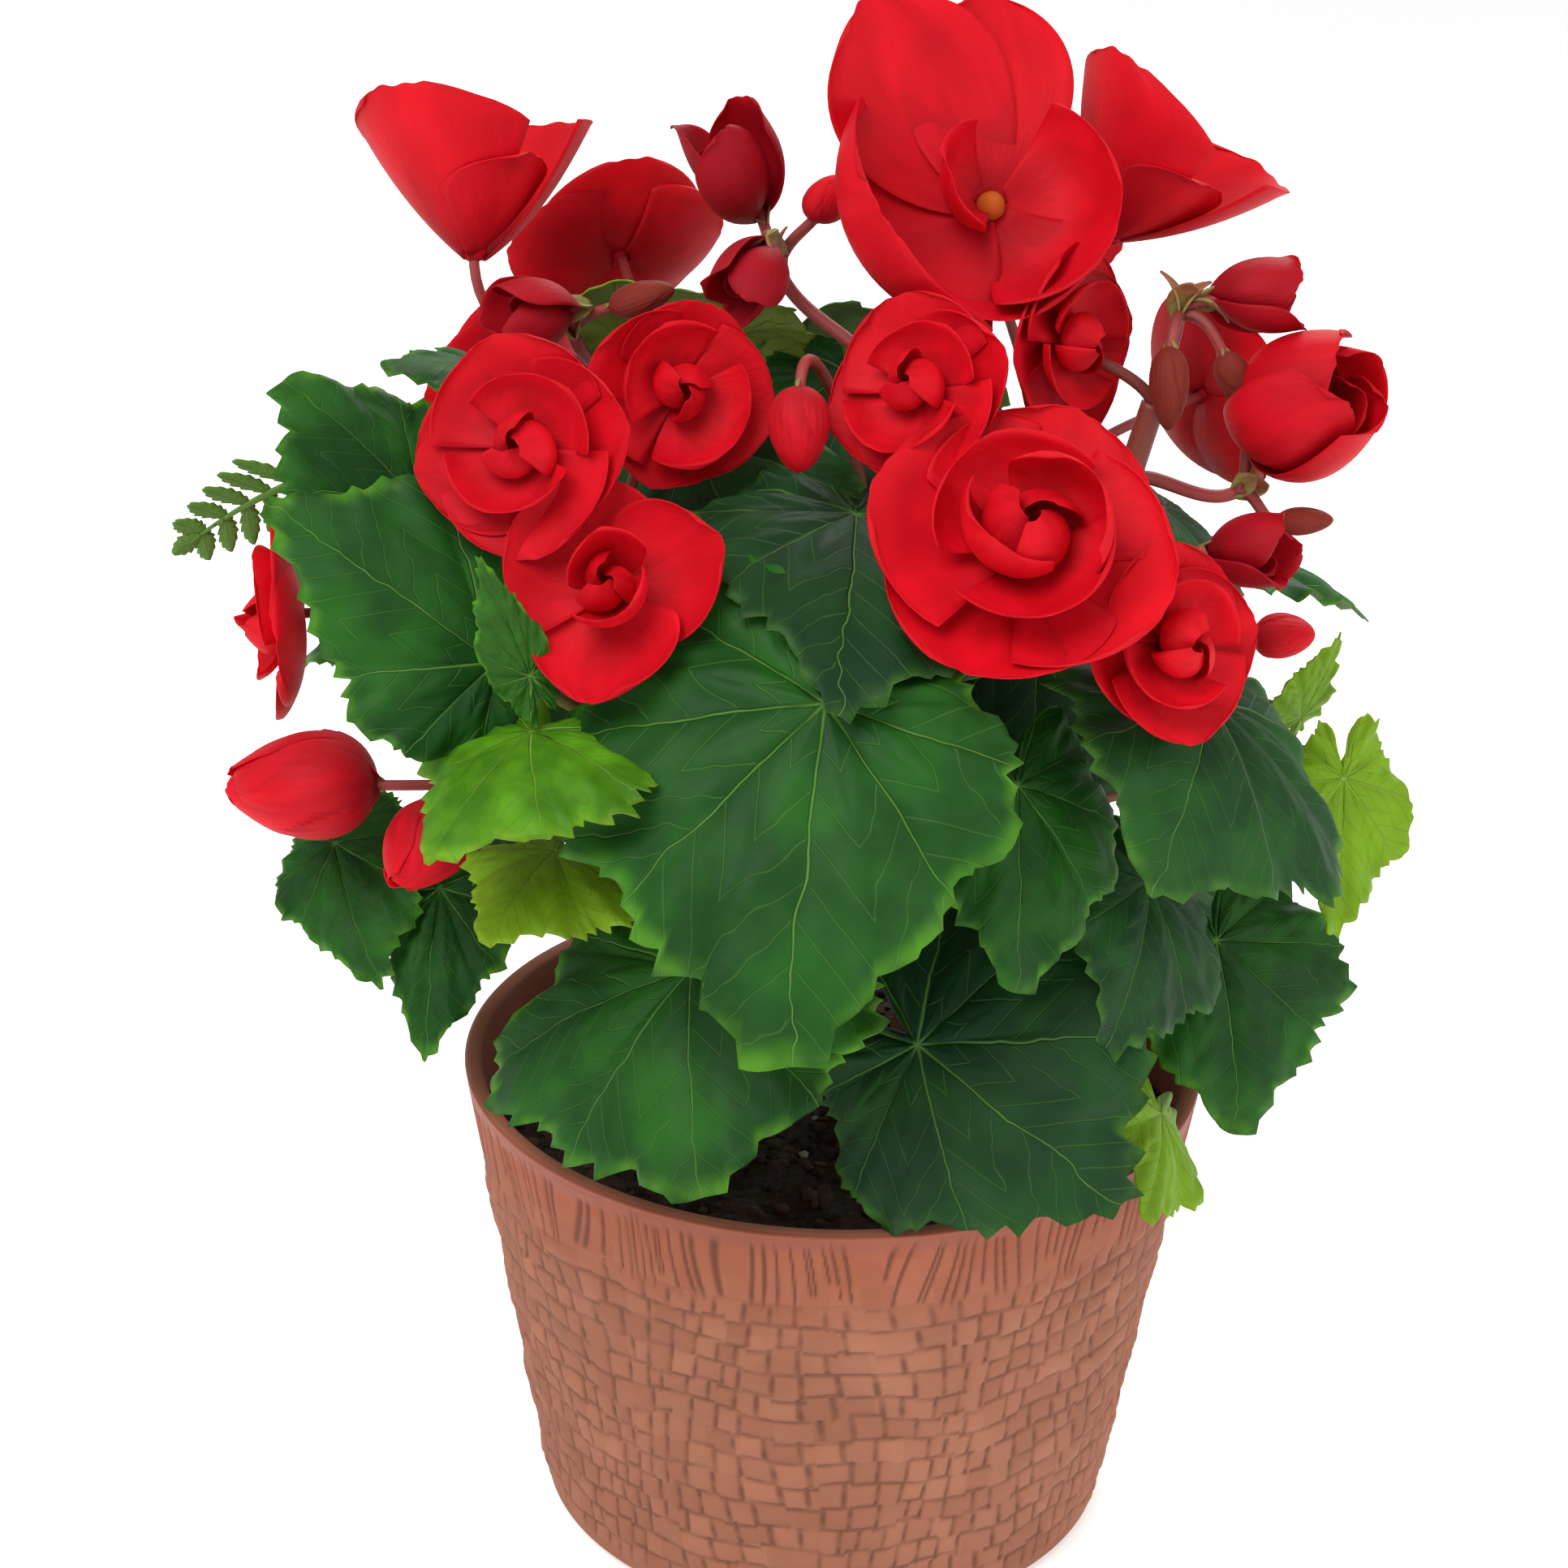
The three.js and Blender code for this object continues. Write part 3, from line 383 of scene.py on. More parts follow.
def lump(middle, sizes, draw):
    """A small rough crumb: a coarse ball with its points moved at random."""
    rings, around = 4, 7
    lat = np.linspace(0, math.pi, rings + 2)[1:-1]
    turn = ring_angles(around)
    body = np.stack([np.outer(np.sin(lat), np.cos(turn)), np.outer(np.sin(lat), np.sin(turn)),
                     np.outer(np.cos(lat), np.ones(around))], -1).reshape(-1, 3)
    body = np.vstack([[0, 0, 1], body, [0, 0, -1]])
    body = body * draw.uniform(0.72, 1.12, (len(body), 1))
    spin = draw.uniform(0, 6.3)
    c, s = math.cos(spin), math.sin(spin)
    body = body * sizes @ np.array([[c, s, 0], [-s, c, 0], [0, 0, 1]])
    return body + middle, ring_faces(rings, around, flipped=True)


def soil_height(x, y):
    far = np.hypot(x, y) / inner_radius(SOIL.top)
    rough = 1.1 * np.sin(0.31 * x + 1) * np.cos(0.27 * y - 0.4)
    fine = 0.5 * np.sin(1.1 * x + 0.7 * y) * np.cos(0.9 * y - 0.5 * x) + 0.3 * np.sin(2.3 * x - 1.9 * y)
    return SOIL.top + SOIL.crown * (1 - far**2) + rough + fine


peat = Finish("moist_peat", specular_ior_level=0.3)
crumb_tone, crumb_kind, _ = peat.read("crumb")
where = peat.body_place()
fine = peat.noise(where, 700, 5, 0.7)
color = peat.coats(
    peat.mix(peat.step(fine, 0.35, 0.75), paint(24, 18, 15), paint(66, 48, 38)),
    (crumb_tone * 0.7, paint(92, 66, 48)),
    (crumb_kind, paint(176, 164, 146)),
)
peat.cover(color, 0.95 - fine * 0.15, fine, 0.0012, 0.8)

soil = Form()
rings = [(r * inner_radius(SOIL.top), SOIL.top) for r in np.linspace(1, 0.02, 70)]
low = POT.floor + 0.6
bottom = [(0, low), (inner_radius(8) - 5, low), (inner_radius(9), 9), (inner_radius(50), 50)]
points, faces = turned([*bottom, *rings, (0, SOIL.top)], 144)
top = points[:, 2] > SOIL.top - 1
points[top, 2] = soil_height(points[top, 0], points[top, 1])
soil.add(points, faces, crumb=[0.1, 0, 0])
draw = np.random.default_rng(21)
for _ in range(SOIL.crumbs):
    far, turn_to = SOIL.crumbs_to * math.sqrt(draw.random()), draw.uniform(0, 6.3)
    x, y = far * math.cos(turn_to), far * math.sin(turn_to)
    pale = draw.random() < SOIL.pale
    size = draw.uniform(0.5, 1.1 if pale else 2.1)
    stretch = draw.uniform(1, 2.6) if draw.random() < SOIL.long else 1
    middle = np.array([x, y, soil_height(x, y) + 0.1 * size])
    body, faces = lump(middle, size * np.array([stretch, 1, 0.7]), draw)
    soil.add(body, faces, crumb=[draw.random() ** 2, 0.8 if pale else 0, 0])
soil.piece("soil_peat", ["soil"], peat.material, "soil")

# -------------------- the stems
# Five fleshy red-brown stems rise from the soil, lean out and branch. They thicken at their joints, where
# leaves and flower stalks grow, and taper upwards.
STEM = Sizes(radius=3.1, taper=0.3, swell=0.13, joint=0.018, joints=(0.14, 0.3, 0.46, 0.62, 0.78, 0.9))
STEMS = [
    [(-14, -12), (-24, -20, 150), (-40, -26, 208)],
    [(3, -2), (2, -8, 160), (6, -12, 238)],
    [(19, -8), (32, -16, 150), (54, -12, 232)],
    [(-12, 17), (-24, 26, 150), (-38, 30, 214)],
    [(15, 18), (26, 28, 150), (38, 32, 214)],
]


def unit(v):
    return v / np.maximum(np.linalg.norm(v, axis=-1, keepdims=True), 1e-9)


def through(points, count=241):
    """An even curve through points, with its ends run on straight."""
    p = [np.array(q, float) for q in points]
    p = [2 * p[0] - p[1], *p, 2 * p[-1] - p[-2]]
    fine = []
    for a, b, c, d in zip(p, p[1:], p[2:], p[3:]):
        t = np.linspace(0, 1, 80)[:, None]
        d0, d1, d2 = (math.sqrt(np.linalg.norm(v)) for v in (b - a, c - b, d - c))
        m1 = ((b - a) / d0 - (c - a) / (d0 + d1) + (c - b) / d1) * d1
        m2 = ((c - b) / d1 - (d - b) / (d1 + d2) + (d - c) / d2) * d1
        fine.append(b + m1 * t + (3 * (c - b) - 2 * m1 - m2) * t**2 + (2 * (b - c) + m1 + m2) * t**3)
    fine = np.concatenate(fine)
    along = np.append(0, np.cumsum(np.linalg.norm(np.diff(fine, axis=0), axis=1)))
    return np.stack([np.interp(np.linspace(0, along[-1], count), along, fine[:, k]) for k in range(3)], 1)


def bowed(start, out, end, arrive, count=24):
    """A curve that leaves start along out and reaches end along arrive."""
    reach = np.linalg.norm(end - start) * 0.4
    t = np.linspace(0, 1, count)[:, None]
    first, second = start + out * reach, end - arrive * reach
    return (1 - t) ** 3 * start + 3 * t * (1 - t) ** 2 * first + 3 * t * t * (1 - t) * second + t**3 * end


def add_tube(form, path, radius, number, around=12):
    """Adds a round stalk, and keeps at each point its share along, its turn and a number."""
    tangent = unit(np.gradient(path, axis=0))
    side = unit(np.cross(tangent[0], [0.3, 1, 0.2]))
    rows = []
    for direction in tangent:
        side = unit(side - direction * (side @ direction))
        rows.append(side)
    side, other = np.array(rows)[:, None], np.cross(tangent, rows)[:, None]
    turn = ring_angles(around)
    spoke = side * np.cos(turn)[:, None] + other * np.sin(turn)[:, None]
    rings = path[:, None] + radius[:, None, None] * spoke
    points = np.vstack([path[0], rings.reshape(-1, 3), path[-1]])
    along = np.hstack([0, np.repeat(np.linspace(0, 1, len(path)), around), 1])
    round_ = np.hstack([0, np.tile(turn, len(path)), 0])
    marks = np.stack([along, round_, np.full(len(along), number)], 1)
    form.add(points, ring_faces(len(path), around), stalk=marks)


def stalk_finish(name, low, high, streak):
    """Smooth juicy skin whose colour changes from its root to its end, with fine streaks along it."""
    skin = Finish(name, specular_ior_level=0.5, subsurface_weight=0.12, subsurface_scale=0.002)
    along, round_, tone = skin.read("stalk")
    lines = skin.noise(skin.place(along * 3, round_ * 1.6, tone * 9), 3.0, 3, 0.6)
    color = skin.mix(skin.step(along, 0.0, 0.9), low, high)
    color = skin.mix(skin.step(lines, 0.45, 0.75) * 0.6, color, streak)
    skin.cover(color, 0.42 + lines * 0.15, lines, 0.0003, 0.6)
    return skin.material


stem_skin = stalk_finish("stem_skin", paint(112, 62, 44), paint(128, 52, 42), paint(94, 92, 44))
stem_paths = []
for i, (root, elbow, tip) in enumerate(STEMS):
    path = through([(*root, SOIL.top - 14), (*root, SOIL.top + 6), elbow, tip])
    stem_paths.append(path)
    share = np.linspace(0, 1, len(path))
    swell = sum(np.exp(-(((share - place) / STEM.joint) ** 2)) for place in STEM.joints)
    radius = STEM.radius * (1.02 - STEM.taper * share + STEM.swell * swell)
    stem = Form()
    add_tube(stem, path, radius, i * 0.37, 20)
    stem.piece(f"stem_{i + 1}_skin", [f"stem_{i + 1}"], stem_skin, "stem")


def on_stem(stem, share):
    """The point at a share of a stem's length, and the stem's direction there."""
    path = stem_paths[stem]
    k = share * (len(path) - 1)
    low = min(int(k), len(path) - 2)
    return path[low] + (path[low + 1] - path[low]) * (k - low), unit(path[low + 1] - path[low])


# -------------------- the leaves
# Lopsided heart-shaped blades, lobed and toothed, each on a reddish stalk. Pale main veins fan out from where
# the stalk meets the blade, with finer veins between, and the blade is quilted and waved towards its edge.
YOUNG = {8, 9, 13, 16, 19, 22}
# What a leaf has unless its own row says otherwise: turns in degrees, the rest in shares of its length.
LEAF = dict(roll=0, bend=40, fall=34, wide=1, side=1, point=0.13, wave=0.02, tone=0, frond=False)


def leaf_at(stem, at, base, tip, **special):
    """A leaf by its stem, its stalk's place along it, and the two ends of its blade's middle line."""
    return Sizes(**{**LEAF, **special}, stem=stem, at=at, base=base, tip=tip)


LEAVES = [
    leaf_at(1, 0.62, (-4, -76, 199), (-10, -106, 144), bend=26, fall=40, side=-1),
    leaf_at(0, 0.25, (-26, -66, 145), (-22, -94, 109), wide=1.35, side=-1, point=0.03),
    leaf_at(2, 0.2, (14, -62, 129), (54, -82, 106), roll=10, bend=30, wide=1.15, point=0.06, tone=-0.8),
    leaf_at(2, 0.6, (63, -46, 189), (50, -80, 167), roll=4, wide=1.3, tone=-0.5),
    leaf_at(0, 0.6, (-60, -57, 198), (-98, -54, 224), bend=30, wide=0.9, side=-1),
    leaf_at(0, 0.8, (-77, -16, 212), (-102, -12, 234), roll=10),
    leaf_at(1, 0.74, (1, -38, 219), (-2, -84, 200), roll=-10, bend=34, wide=1.1, tone=-0.85),
    leaf_at(0, 0.5, (-53, -66, 189), (-67, -87, 173), roll=8, wide=1.3, wave=0.06, tone=0.1),
    leaf_at(0, 0.36, (-50, -57, 163), (-60, -74, 152), roll=-8, wide=1.3, wave=0.09, tone=0.9),
    leaf_at(2, 0.4, (29, -64, 180), (29, -82, 148), bend=20, fall=70, wide=0.9),
    leaf_at(2, 0.3, (54, -50, 156), (45, -74, 134), tone=-0.7),
    leaf_at(2, 0.14, (70, -28, 134), (75, -38, 98), roll=50),
    leaf_at(2, 0.5, (93, -16, 162), (91, -27, 134), roll=50, bend=26, wide=0.7, wave=0.05, tone=0.8),
    leaf_at(3, 0.3, (-94, -18, 146), (-84, -36, 125), roll=-50, wide=0.9),
    leaf_at(3, 0.22, (-74, -24, 140), (-76, -40, 112), roll=-60, wide=0.6),
    leaf_at(3, 0.86, (-26, 22, 232), (-50, 0, 246), roll=10, wide=1.2, tone=0.2),
    leaf_at(4, 0.86, (-6, 36, 214), (1, 8, 243), wide=1.2),
    leaf_at(3, 0.75, (-62, 16, 226), (-86, 2, 231), roll=-30),
    leaf_at(2, 0.1, (60, -42, 105), (54, -64, 95), roll=30, wide=0.9, wave=0.06, tone=0.8),
    leaf_at(3, 0.66, (-101, -4, 212), (-122, -4, 199), roll=70, bend=30, frond=True, tone=1),
    leaf_at(0, 0.7, (-53, -68, 200), (-61, -69, 221), roll=40, bend=10, fall=60, wide=0.42, tone=0.3),
    leaf_at(4, 0.5, (87, 2, 167), (93, 2, 184), roll=-50, bend=20, wide=0.7, tone=0.7),
    leaf_at(4, 0.6, (70, 34, 190), (106, 48, 168), bend=46),
    leaf_at(4, 0.36, (52, 56, 158), (76, 88, 132), bend=46),
    leaf_at(4, 0.7, (22, 64, 198), (26, 104, 170), bend=46, side=-1),
    leaf_at(3, 0.4, (-8, 66, 160), (-12, 100, 128), bend=46),
    leaf_at(3, 0.6, (-40, 58, 196), (-66, 88, 172), bend=46, side=-1),
    leaf_at(3, 0.5, (-72, 28, 182), (-108, 36, 158), bend=46),
    leaf_at(3, 0.16, (-52, 44, 140), (-78, 66, 108), bend=46),
    leaf_at(4, 0.14, (62, 22, 128), (92, 38, 102), bend=46, side=-1),
]
# Small leaves in the shaded middle of the plant, between the flowers and the large leaves; their negative
# tones paint them darker, as painted shade.
INNER = [
    leaf_at(2, 0.45, (34, -20, 194), (31, -42, 160), wide=1.3, tone=-0.7),
    leaf_at(0, 0.84, (-28, -14, 224), (-34, -34, 198), wide=1.4, tone=-0.6),
    leaf_at(1, 0.8, (0, 4, 232), (-5, -18, 208), wide=1.5, tone=-0.6),
    leaf_at(0, 0.5, (-38, -30, 196), (-52, -46, 172), wide=1.3, tone=-0.6),
    leaf_at(0, 0.3, (-50, -26, 170), (-66, -38, 148), wide=1.1, tone=-0.5),
    leaf_at(2, 0.6, (58, -4, 210), (72, -16, 190), wide=1.2, tone=-0.6),
]
# The sprig's rib and leaflets, in shares of its length.
FROND = Sizes(pairs=5, first=0.02, length=0.4, shorter=0.64, wide=0.07, slant=0.55, rib=0.03,
              end_at=0.84, end_length=0.24, thickness=0.5)
BLADE = Sizes(spokes=240, rings=18, thickness=0.5, rim=0.3, ray=TURN / 9)


def turn_about(v, axis, angle):
    c, s = math.cos(angle), math.sin(angle)
    return v * c + np.cross(axis, v) * s + axis * (axis @ v) * (1 - c)


def shell(points, faces, edge, thickness):
    """A thin closed sheet about its middle points, with 1 for its upper side and 0 for the lower."""
    normal = np.zeros_like(points)
    for group in faces:
        across = points[group[:, -1]] - points[group[:, 1]]
        flat = np.cross(points[group[:, 2]] - points[group[:, 0]], across)
        for corner in group.T:
            np.add.at(normal, corner, flat)
    lift = unit(normal) * np.asarray(thickness)[..., None] / 2
    n, following = len(points), np.roll(edge, -1)
    rim = np.stack([edge + n, following + n, following, edge], 1)
    under = [group[:, ::-1] + n for group in faces]
    return np.concatenate([points + lift, points - lift]), [*faces, *under, rim], np.repeat([1.0, 0.0], n)


def sheet(points, thickness, turned_over=False):
    """A shell of a grid of points, turned over where its columns run the other way round."""
    rows, columns = points.shape[:2]
    index = np.arange(rows * columns).reshape(rows, columns)
    if turned_over:
        index = index[:, ::-1]
    quads = np.stack([index[:-1, :-1], index[1:, :-1], index[1:, 1:], index[:-1, 1:]], -1).reshape(-1, 4)
    edge = np.concatenate([index[:-1, 0], index[-1, :-1], index[:0:-1, -1], index[0, :0:-1]])
    return shell(points.reshape(-1, 3), [quads], edge, thickness)


def leaf_reach(angle, leaf):
    def peak(turn):
        return np.exp(-((turn / 0.28) ** 2))

    reach = 0.56 + 0.2 * np.cos(angle) + 0.04 * np.cos(5 * angle) + leaf.point * peak(angle)
    notch = 1 - 0.8 * peak(math.pi - np.abs(angle))
    return reach * (1 + 0.16 * leaf.side * np.sin(angle)) * notch


def leaf_frame(leaf):
    start, end = np.array(leaf.base, float), np.array(leaf.tip, float)
    chord = end - start
    along = unit(chord)
    outward = start - np.array([0, 0, 112])
    up = turn_about(unit(outward - along * (outward @ along)), along, math.radians(leaf.roll))
    across = np.cross(up, along)
    half = math.radians(leaf.bend) / 2
    length = np.linalg.norm(chord) * half / math.sin(half)
    return start, turn_about(along, across, -half), turn_about(up, across, -half), across, length


def leaf_points(leaf, p, q, rise):
    """Points of the curved blade from flat shares of its length along and across, lifted by rise."""
    start, along, up, across, length = leaf_frame(leaf)
    bend, fall = math.radians(leaf.bend), math.radians(leaf.fall)
    turn = (bend * p)[..., None]
    sideways = (np.sin(fall * q) / fall)[..., None]
    sag = ((1 - np.cos(fall * q)) / fall - rise)[..., None]
    return start + length * (along * (np.sin(turn) / bend - sag * np.sin(turn))
                             - up * ((1 - np.cos(turn)) / bend + sag * np.cos(turn)) + across * sideways)


def blade_of(leaf, number):
    """The blade: its points and faces, and each point's flat place, share to the edge and side."""
    draw = np.random.default_rng(100 + number)
    spokes, rings = BLADE.spokes, BLADE.rings
    angle = (np.arange(spokes) + 0.5) * TURN / spokes - math.pi
    share = (np.arange(1, rings + 1) / rings) ** 0.8
    tooth = np.abs(((12 * angle / TURN + 0.5) % 1) - 0.5) * 2
    fine = (np.sign(angle) * 44 * (angle + 0.03 * np.sin(9 * angle)) / TURN + draw.random()) % 1
    uneven = 1 + 0.5 * np.sin(3 * angle + draw.uniform(0, 6.3)) + 0.4 * np.sin(11 * angle)
    edge = (0.055 - 0.1 * tooth**1.3) + 0.062 * (fine**1.4 - 0.45) * uneven
    grid_share, grid_angle = share[:, None], angle[None, :]
    reach = leaf_reach(grid_angle, leaf) * grid_share * (1 + edge[None, :] * grid_share**3)
    p, q = reach * np.cos(grid_angle), reach * np.sin(grid_angle) * leaf.wide
    ray = grid_angle / BLADE.ray
    off_ray = np.abs(ray - np.round(ray)) * 2
    _, coarse_phase, fine_phase, fold_phase = draw.uniform(0, 6.3, 4)
    quilt = 0.07 * (np.sin(math.pi * off_ray / 2) ** 0.8 - 0.4) * grid_share * (1.15 - grid_share)
    ruffle = 0.016 * np.sin(12 * grid_angle + coarse_phase) + 0.010 * np.sin(23 * grid_angle + fine_phase)
    strength = 1.5 if number in YOUNG else 1.0
    ruffle = grid_share**3 * (leaf.wave * np.cos(5 * grid_angle) + strength * ruffle)
    cross_fold = 0.010 * np.sin(26 * reach - 7 * off_ray + fold_phase) * off_ray * grid_share
    rise = quilt + ruffle + cross_fold
    middle = leaf_points(leaf, *np.zeros((3, 1)))
    points = np.concatenate([middle, leaf_points(leaf, p, q, rise).reshape(-1, 3)])
    rim_share = np.append(0, np.repeat(share, spokes))
    thickness = BLADE.thickness - (BLADE.thickness - BLADE.rim) * rim_share**2
    outline = 1 + (rings - 1) * spokes + np.arange(spokes)
    points, faces, side = shell(points, ring_faces(rings, spokes, flipped=True)[:2], outline, thickness)
    flat = np.stack([np.append(0, p), np.append(0, q), rim_share], 1)
    return points, faces, np.concatenate([flat, flat]), side


def leaf_finish(name, deep, fresh, highlight_and_light_tone, vein_color, under):
    """Satin leaf skin: pale veins in a fan, finer ones between, a painted highlight along the edge and a
    paler underside.
    """
    skin = Finish(name, specular_ior_level=0.16, subsurface_weight=0.05, subsurface_scale=0.0015)
    p, q, share = skin.read("blade")
    side, tone, number = skin.read("leaf")
    where = skin.place(p, q, number)
    bent = skin.noise(where, 5, 2) - 0.5
    angle = q.math("ARCTAN2", p) + bent * 0.14
    far = (p * p + q * q).math("SQRT")
    ray = angle / BLADE.ray
    off = (ray - ray.math("ROUND")) * BLADE.ray
    beside, ahead = far * off.math("SINE").math("ABSOLUTE"), far * off.math("COSINE")
    main = skin.step(beside, (1.05 - share) * 0.008 + 0.002, 0.001)
    branches = (ahead - beside * 1.05 + bent * 0.07) / 0.115
    branch_gap = (branches - branches.math("ROUND")).math("ABSOLUTE")
    branch = skin.step(branch_gap, 0.055, 0.015) * skin.step(beside, 0.002, 0.02)
    patches = skin.noise(where, 2.6, 3, 0.55)
    grain = skin.noise(where, 40, 3, 0.6)
    edge_highlight_patches = skin.step(skin.noise(where, 6, 2), 0.3, 0.8)
    color = skin.coats(
        skin.mix(skin.step(patches, 0.35, 0.7), deep, fresh),
        # Painted highlight: a light green band along the edge, in patches, where light catches the margin.
        (skin.step(share, 0.9, 1.04) * edge_highlight_patches, highlight_and_light_tone),
        (skin.step(tone, 0.0, 1.0) * 0.6, highlight_and_light_tone),
        # A negative tone darkens a leaf; on the small inner leaves this is painted shade.
        (skin.step(tone, 0.0, -1.0) * 0.55, paint(14, 32, 28)),
        (branch * 0.12, vein_color),
        (main * 0.5, vein_color),
        ((1 - side) * 0.7, under),
    )
    height = patches * 0.5 + grain * 0.1 - main * 0.8 - branch * 0.22
    skin.cover(color, 0.42 + patches * 0.16 + grain * 0.08, height, 0.0009, 0.75)
    return skin.material


old_skin = leaf_finish("leaf_skin", paint(16, 60, 14), paint(32, 88, 20), paint(92, 156, 30),
                       paint(108, 156, 72), paint(92, 122, 58))
young_skin = leaf_finish("young_leaf_skin", paint(52, 104, 8), paint(82, 140, 16), paint(132, 164, 22),
                         paint(158, 190, 80), paint(126, 144, 60))
petiole_skin = stalk_finish("leaf_stalk_skin", paint(136, 60, 48), paint(120, 132, 62), paint(150, 92, 58))


def frond_of(leaf):
    """A frond: a flat rib and toothed leaflets in pairs, shorter towards its tip."""
    leaflets, bodies = [], []
    for i in range(FROND.pairs):
        start = FROND.first + (1 - FROND.first) * i / FROND.pairs
        reach = FROND.length * (1 - FROND.shorter * start)
        leaflets += [(start, side, reach) for side in (-1, 1)]
    along, across = np.linspace(0, 1, 25)[:, None], np.linspace(-1, 1, 9)[None, :]
    teeth = 0.8 + 0.35 * ((5 * along) % 1)
    half = FROND.wide * 1.15 * np.sin(math.pi * (0.06 + 0.93 * along)) ** 0.7 * teeth
    for start, side, reach in [*leaflets, (FROND.end_at, 0, FROND.end_length)]:
        if side:
            p = start + FROND.slant * reach * along + half * across
            q = side * (reach + 0.02) * along + 0 * across
        else:
            p, q = start + reach * along + 0 * across, half * across
        bodies.append((p, q, 0.02 * across**2, along, across, side > 0))
    rib_across = np.linspace(-1, 1, 5)[None, :]
    p = np.linspace(-0.02, 0.95, 25)[:, None] + 0 * rib_across
    bodies.append((p, FROND.rib * rib_across * (1.1 - p), 0 * p - 0.01, p, 0 * p, False))
    for p, q, rise, along, across, turned_over in bodies:
        points, faces, side = sheet(leaf_points(leaf, p, q, rise + 0 * p), FROND.thickness, turned_over)
        flat = np.stack([along + 0 * p, 0.3 * across + 0 * p, np.abs(across) + 0 * p], -1).reshape(-1, 3)
        yield points, faces, np.concatenate([flat, flat]), side


for i, leaf in enumerate([*LEAVES, *INNER], 1):
    inner = i - len(LEAVES)
    name, nodes = (f"inner_leaf_{inner}", []) if inner > 0 else (f"leaf_{i:02d}", [f"leaf_{i:02d}"])
    skin, slot = (young_skin, "young_leaf") if i in YOUNG else (old_skin, "leaf")
    form = Form()
    for points, faces, flat, side in frond_of(leaf) if leaf.frond else [blade_of(leaf, i)]:
        leaf_mark = np.stack([side, np.full(len(side), leaf.tone), np.full(len(side), i * 3.1)], 1)
        form.add(points, faces, blade=flat, leaf=leaf_mark)
    form.piece(f"{name}_blade", nodes, skin, slot)
    start, along, up, _, length = leaf_frame(leaf)
    root, _ = on_stem(leaf.stem, leaf.at)
    out = unit(unit((start - root) * [1, 1, 0]) + [0, 0, 0.5])
    path = bowed(root, out, start - up * 0.1, unit(up + along * 0.3), 28)
    form = Form()
    add_tube(form, path, (0.8 + 0.012 * length) * np.linspace(1.15, 0.8, len(path)), i * 0.61)
    form.piece(f"{name}_stalk", nodes, petiole_skin, "stem")

# -------------------- the flowers
# Double red flowers on thin pink stalks: broad overlapping outer petals, then smaller ones that stand up and
# close round the middle. Buds and half-open flowers hang between them.
HEART = 0.09
# Each spray: its stem, its place along it, its flowers by kind, place, turn, lift, spin and radius, and where
# its stalk forks.
BLOOMS = [
    (0, 0.95, [("open", (-54.5, -48, 233), -16, 24, 20, 19.5)]),
    (0, 1, [("open", (-30, -28, 237), 16, 16, 70, 17)]),
    (0, 0.9, [("loose", (-39, -59, 212), -10, 32, 28, 20.5)]),
    (3, 1, [("fan", (-68, 4, 252), 180, 66, 54, 28)]),
    (1, 1, [("bowl", (24, -2, 264), 4, 36, 0, 30)]),
    (4, 1, [("fan", (47, 18, 254), 110, 54, 104, 28)]),
    (1, 0.9, [("open", (12, -38, 241), -30, 26, 30, 17)]),
    (2, 0.9, [("open", (28, -58, 219.5), 2, 47, 66, 27)]),
    (2, 0.82, [("open", (53, -59, 204), 30, 22, 0, 17.5),
               ("half", (63, -32, 211), 60, 10, 0, 13)], (58, -36, 206)),
    (2, 0.9, [("cup", (72, -10, 226), 50, 34, 30, 22),
              ("dry", (77, -20, 213), 70, 10, 0, 5)], (70, -12, 216)),
    (2, 1, [("open", (37, -10, 242), 50, 4, 0, 18)]),
    (0, 0.55, [("bud", (-86, -34, 165), -90, 0, 0, 12.5)]),
    (3, 0.7, [("open", (-100, -8, 188), -84, 0, 0, 21)]),
    (3, 0.96, [("open", (-44, 54, 240), 200, 30, 0, 22)]),
    (4, 0.96, [("open", (30, 58, 250), 156, 28, 30, 25)]),
    (4, 0.88, [("open", (70, 48, 216), 124, 10, 60, 21)]),
    (3, 0.88, [("open", (-66, 54, 214), 226, 12, 10, 20)]),
]
BUDS = [
    (1, 0.82, [("bud", (-9, -40, 241), 0, -70, 90, 7)]),
    (1, 0.96, [("half", (-17, 4, 262), -70, 62, 0, 16), ("bud", (-6, 2, 262), 40, 50, 0, 5),
               ("half", (-15, -12, 259), -34, -36, 40, 12)], (-13, -4, 253)),
    (2, 1, [("half", (64, -8, 250), 88, 4, 0, 13), ("dry", (56, -15, 242), 0, -70, 90, 7),
            ("dry", (66, -13, 241), 60, -60, 90, 5)], (58, -8, 247)),
    (3, 1, [("half", (-50, -6, 246), -60, 0, 90, 13),
            ("dry", (-42, -4, 246), 80, 20, 0, 6)], (-50, 0, 240)),
    (0, 0.45, [("bud", (-70, -42, 163), -36, -30, 0, 8.5)]),
    (4, 0.66, [("bud", (77, -6, 186), 70, 10, 0, 5.5)]),
]
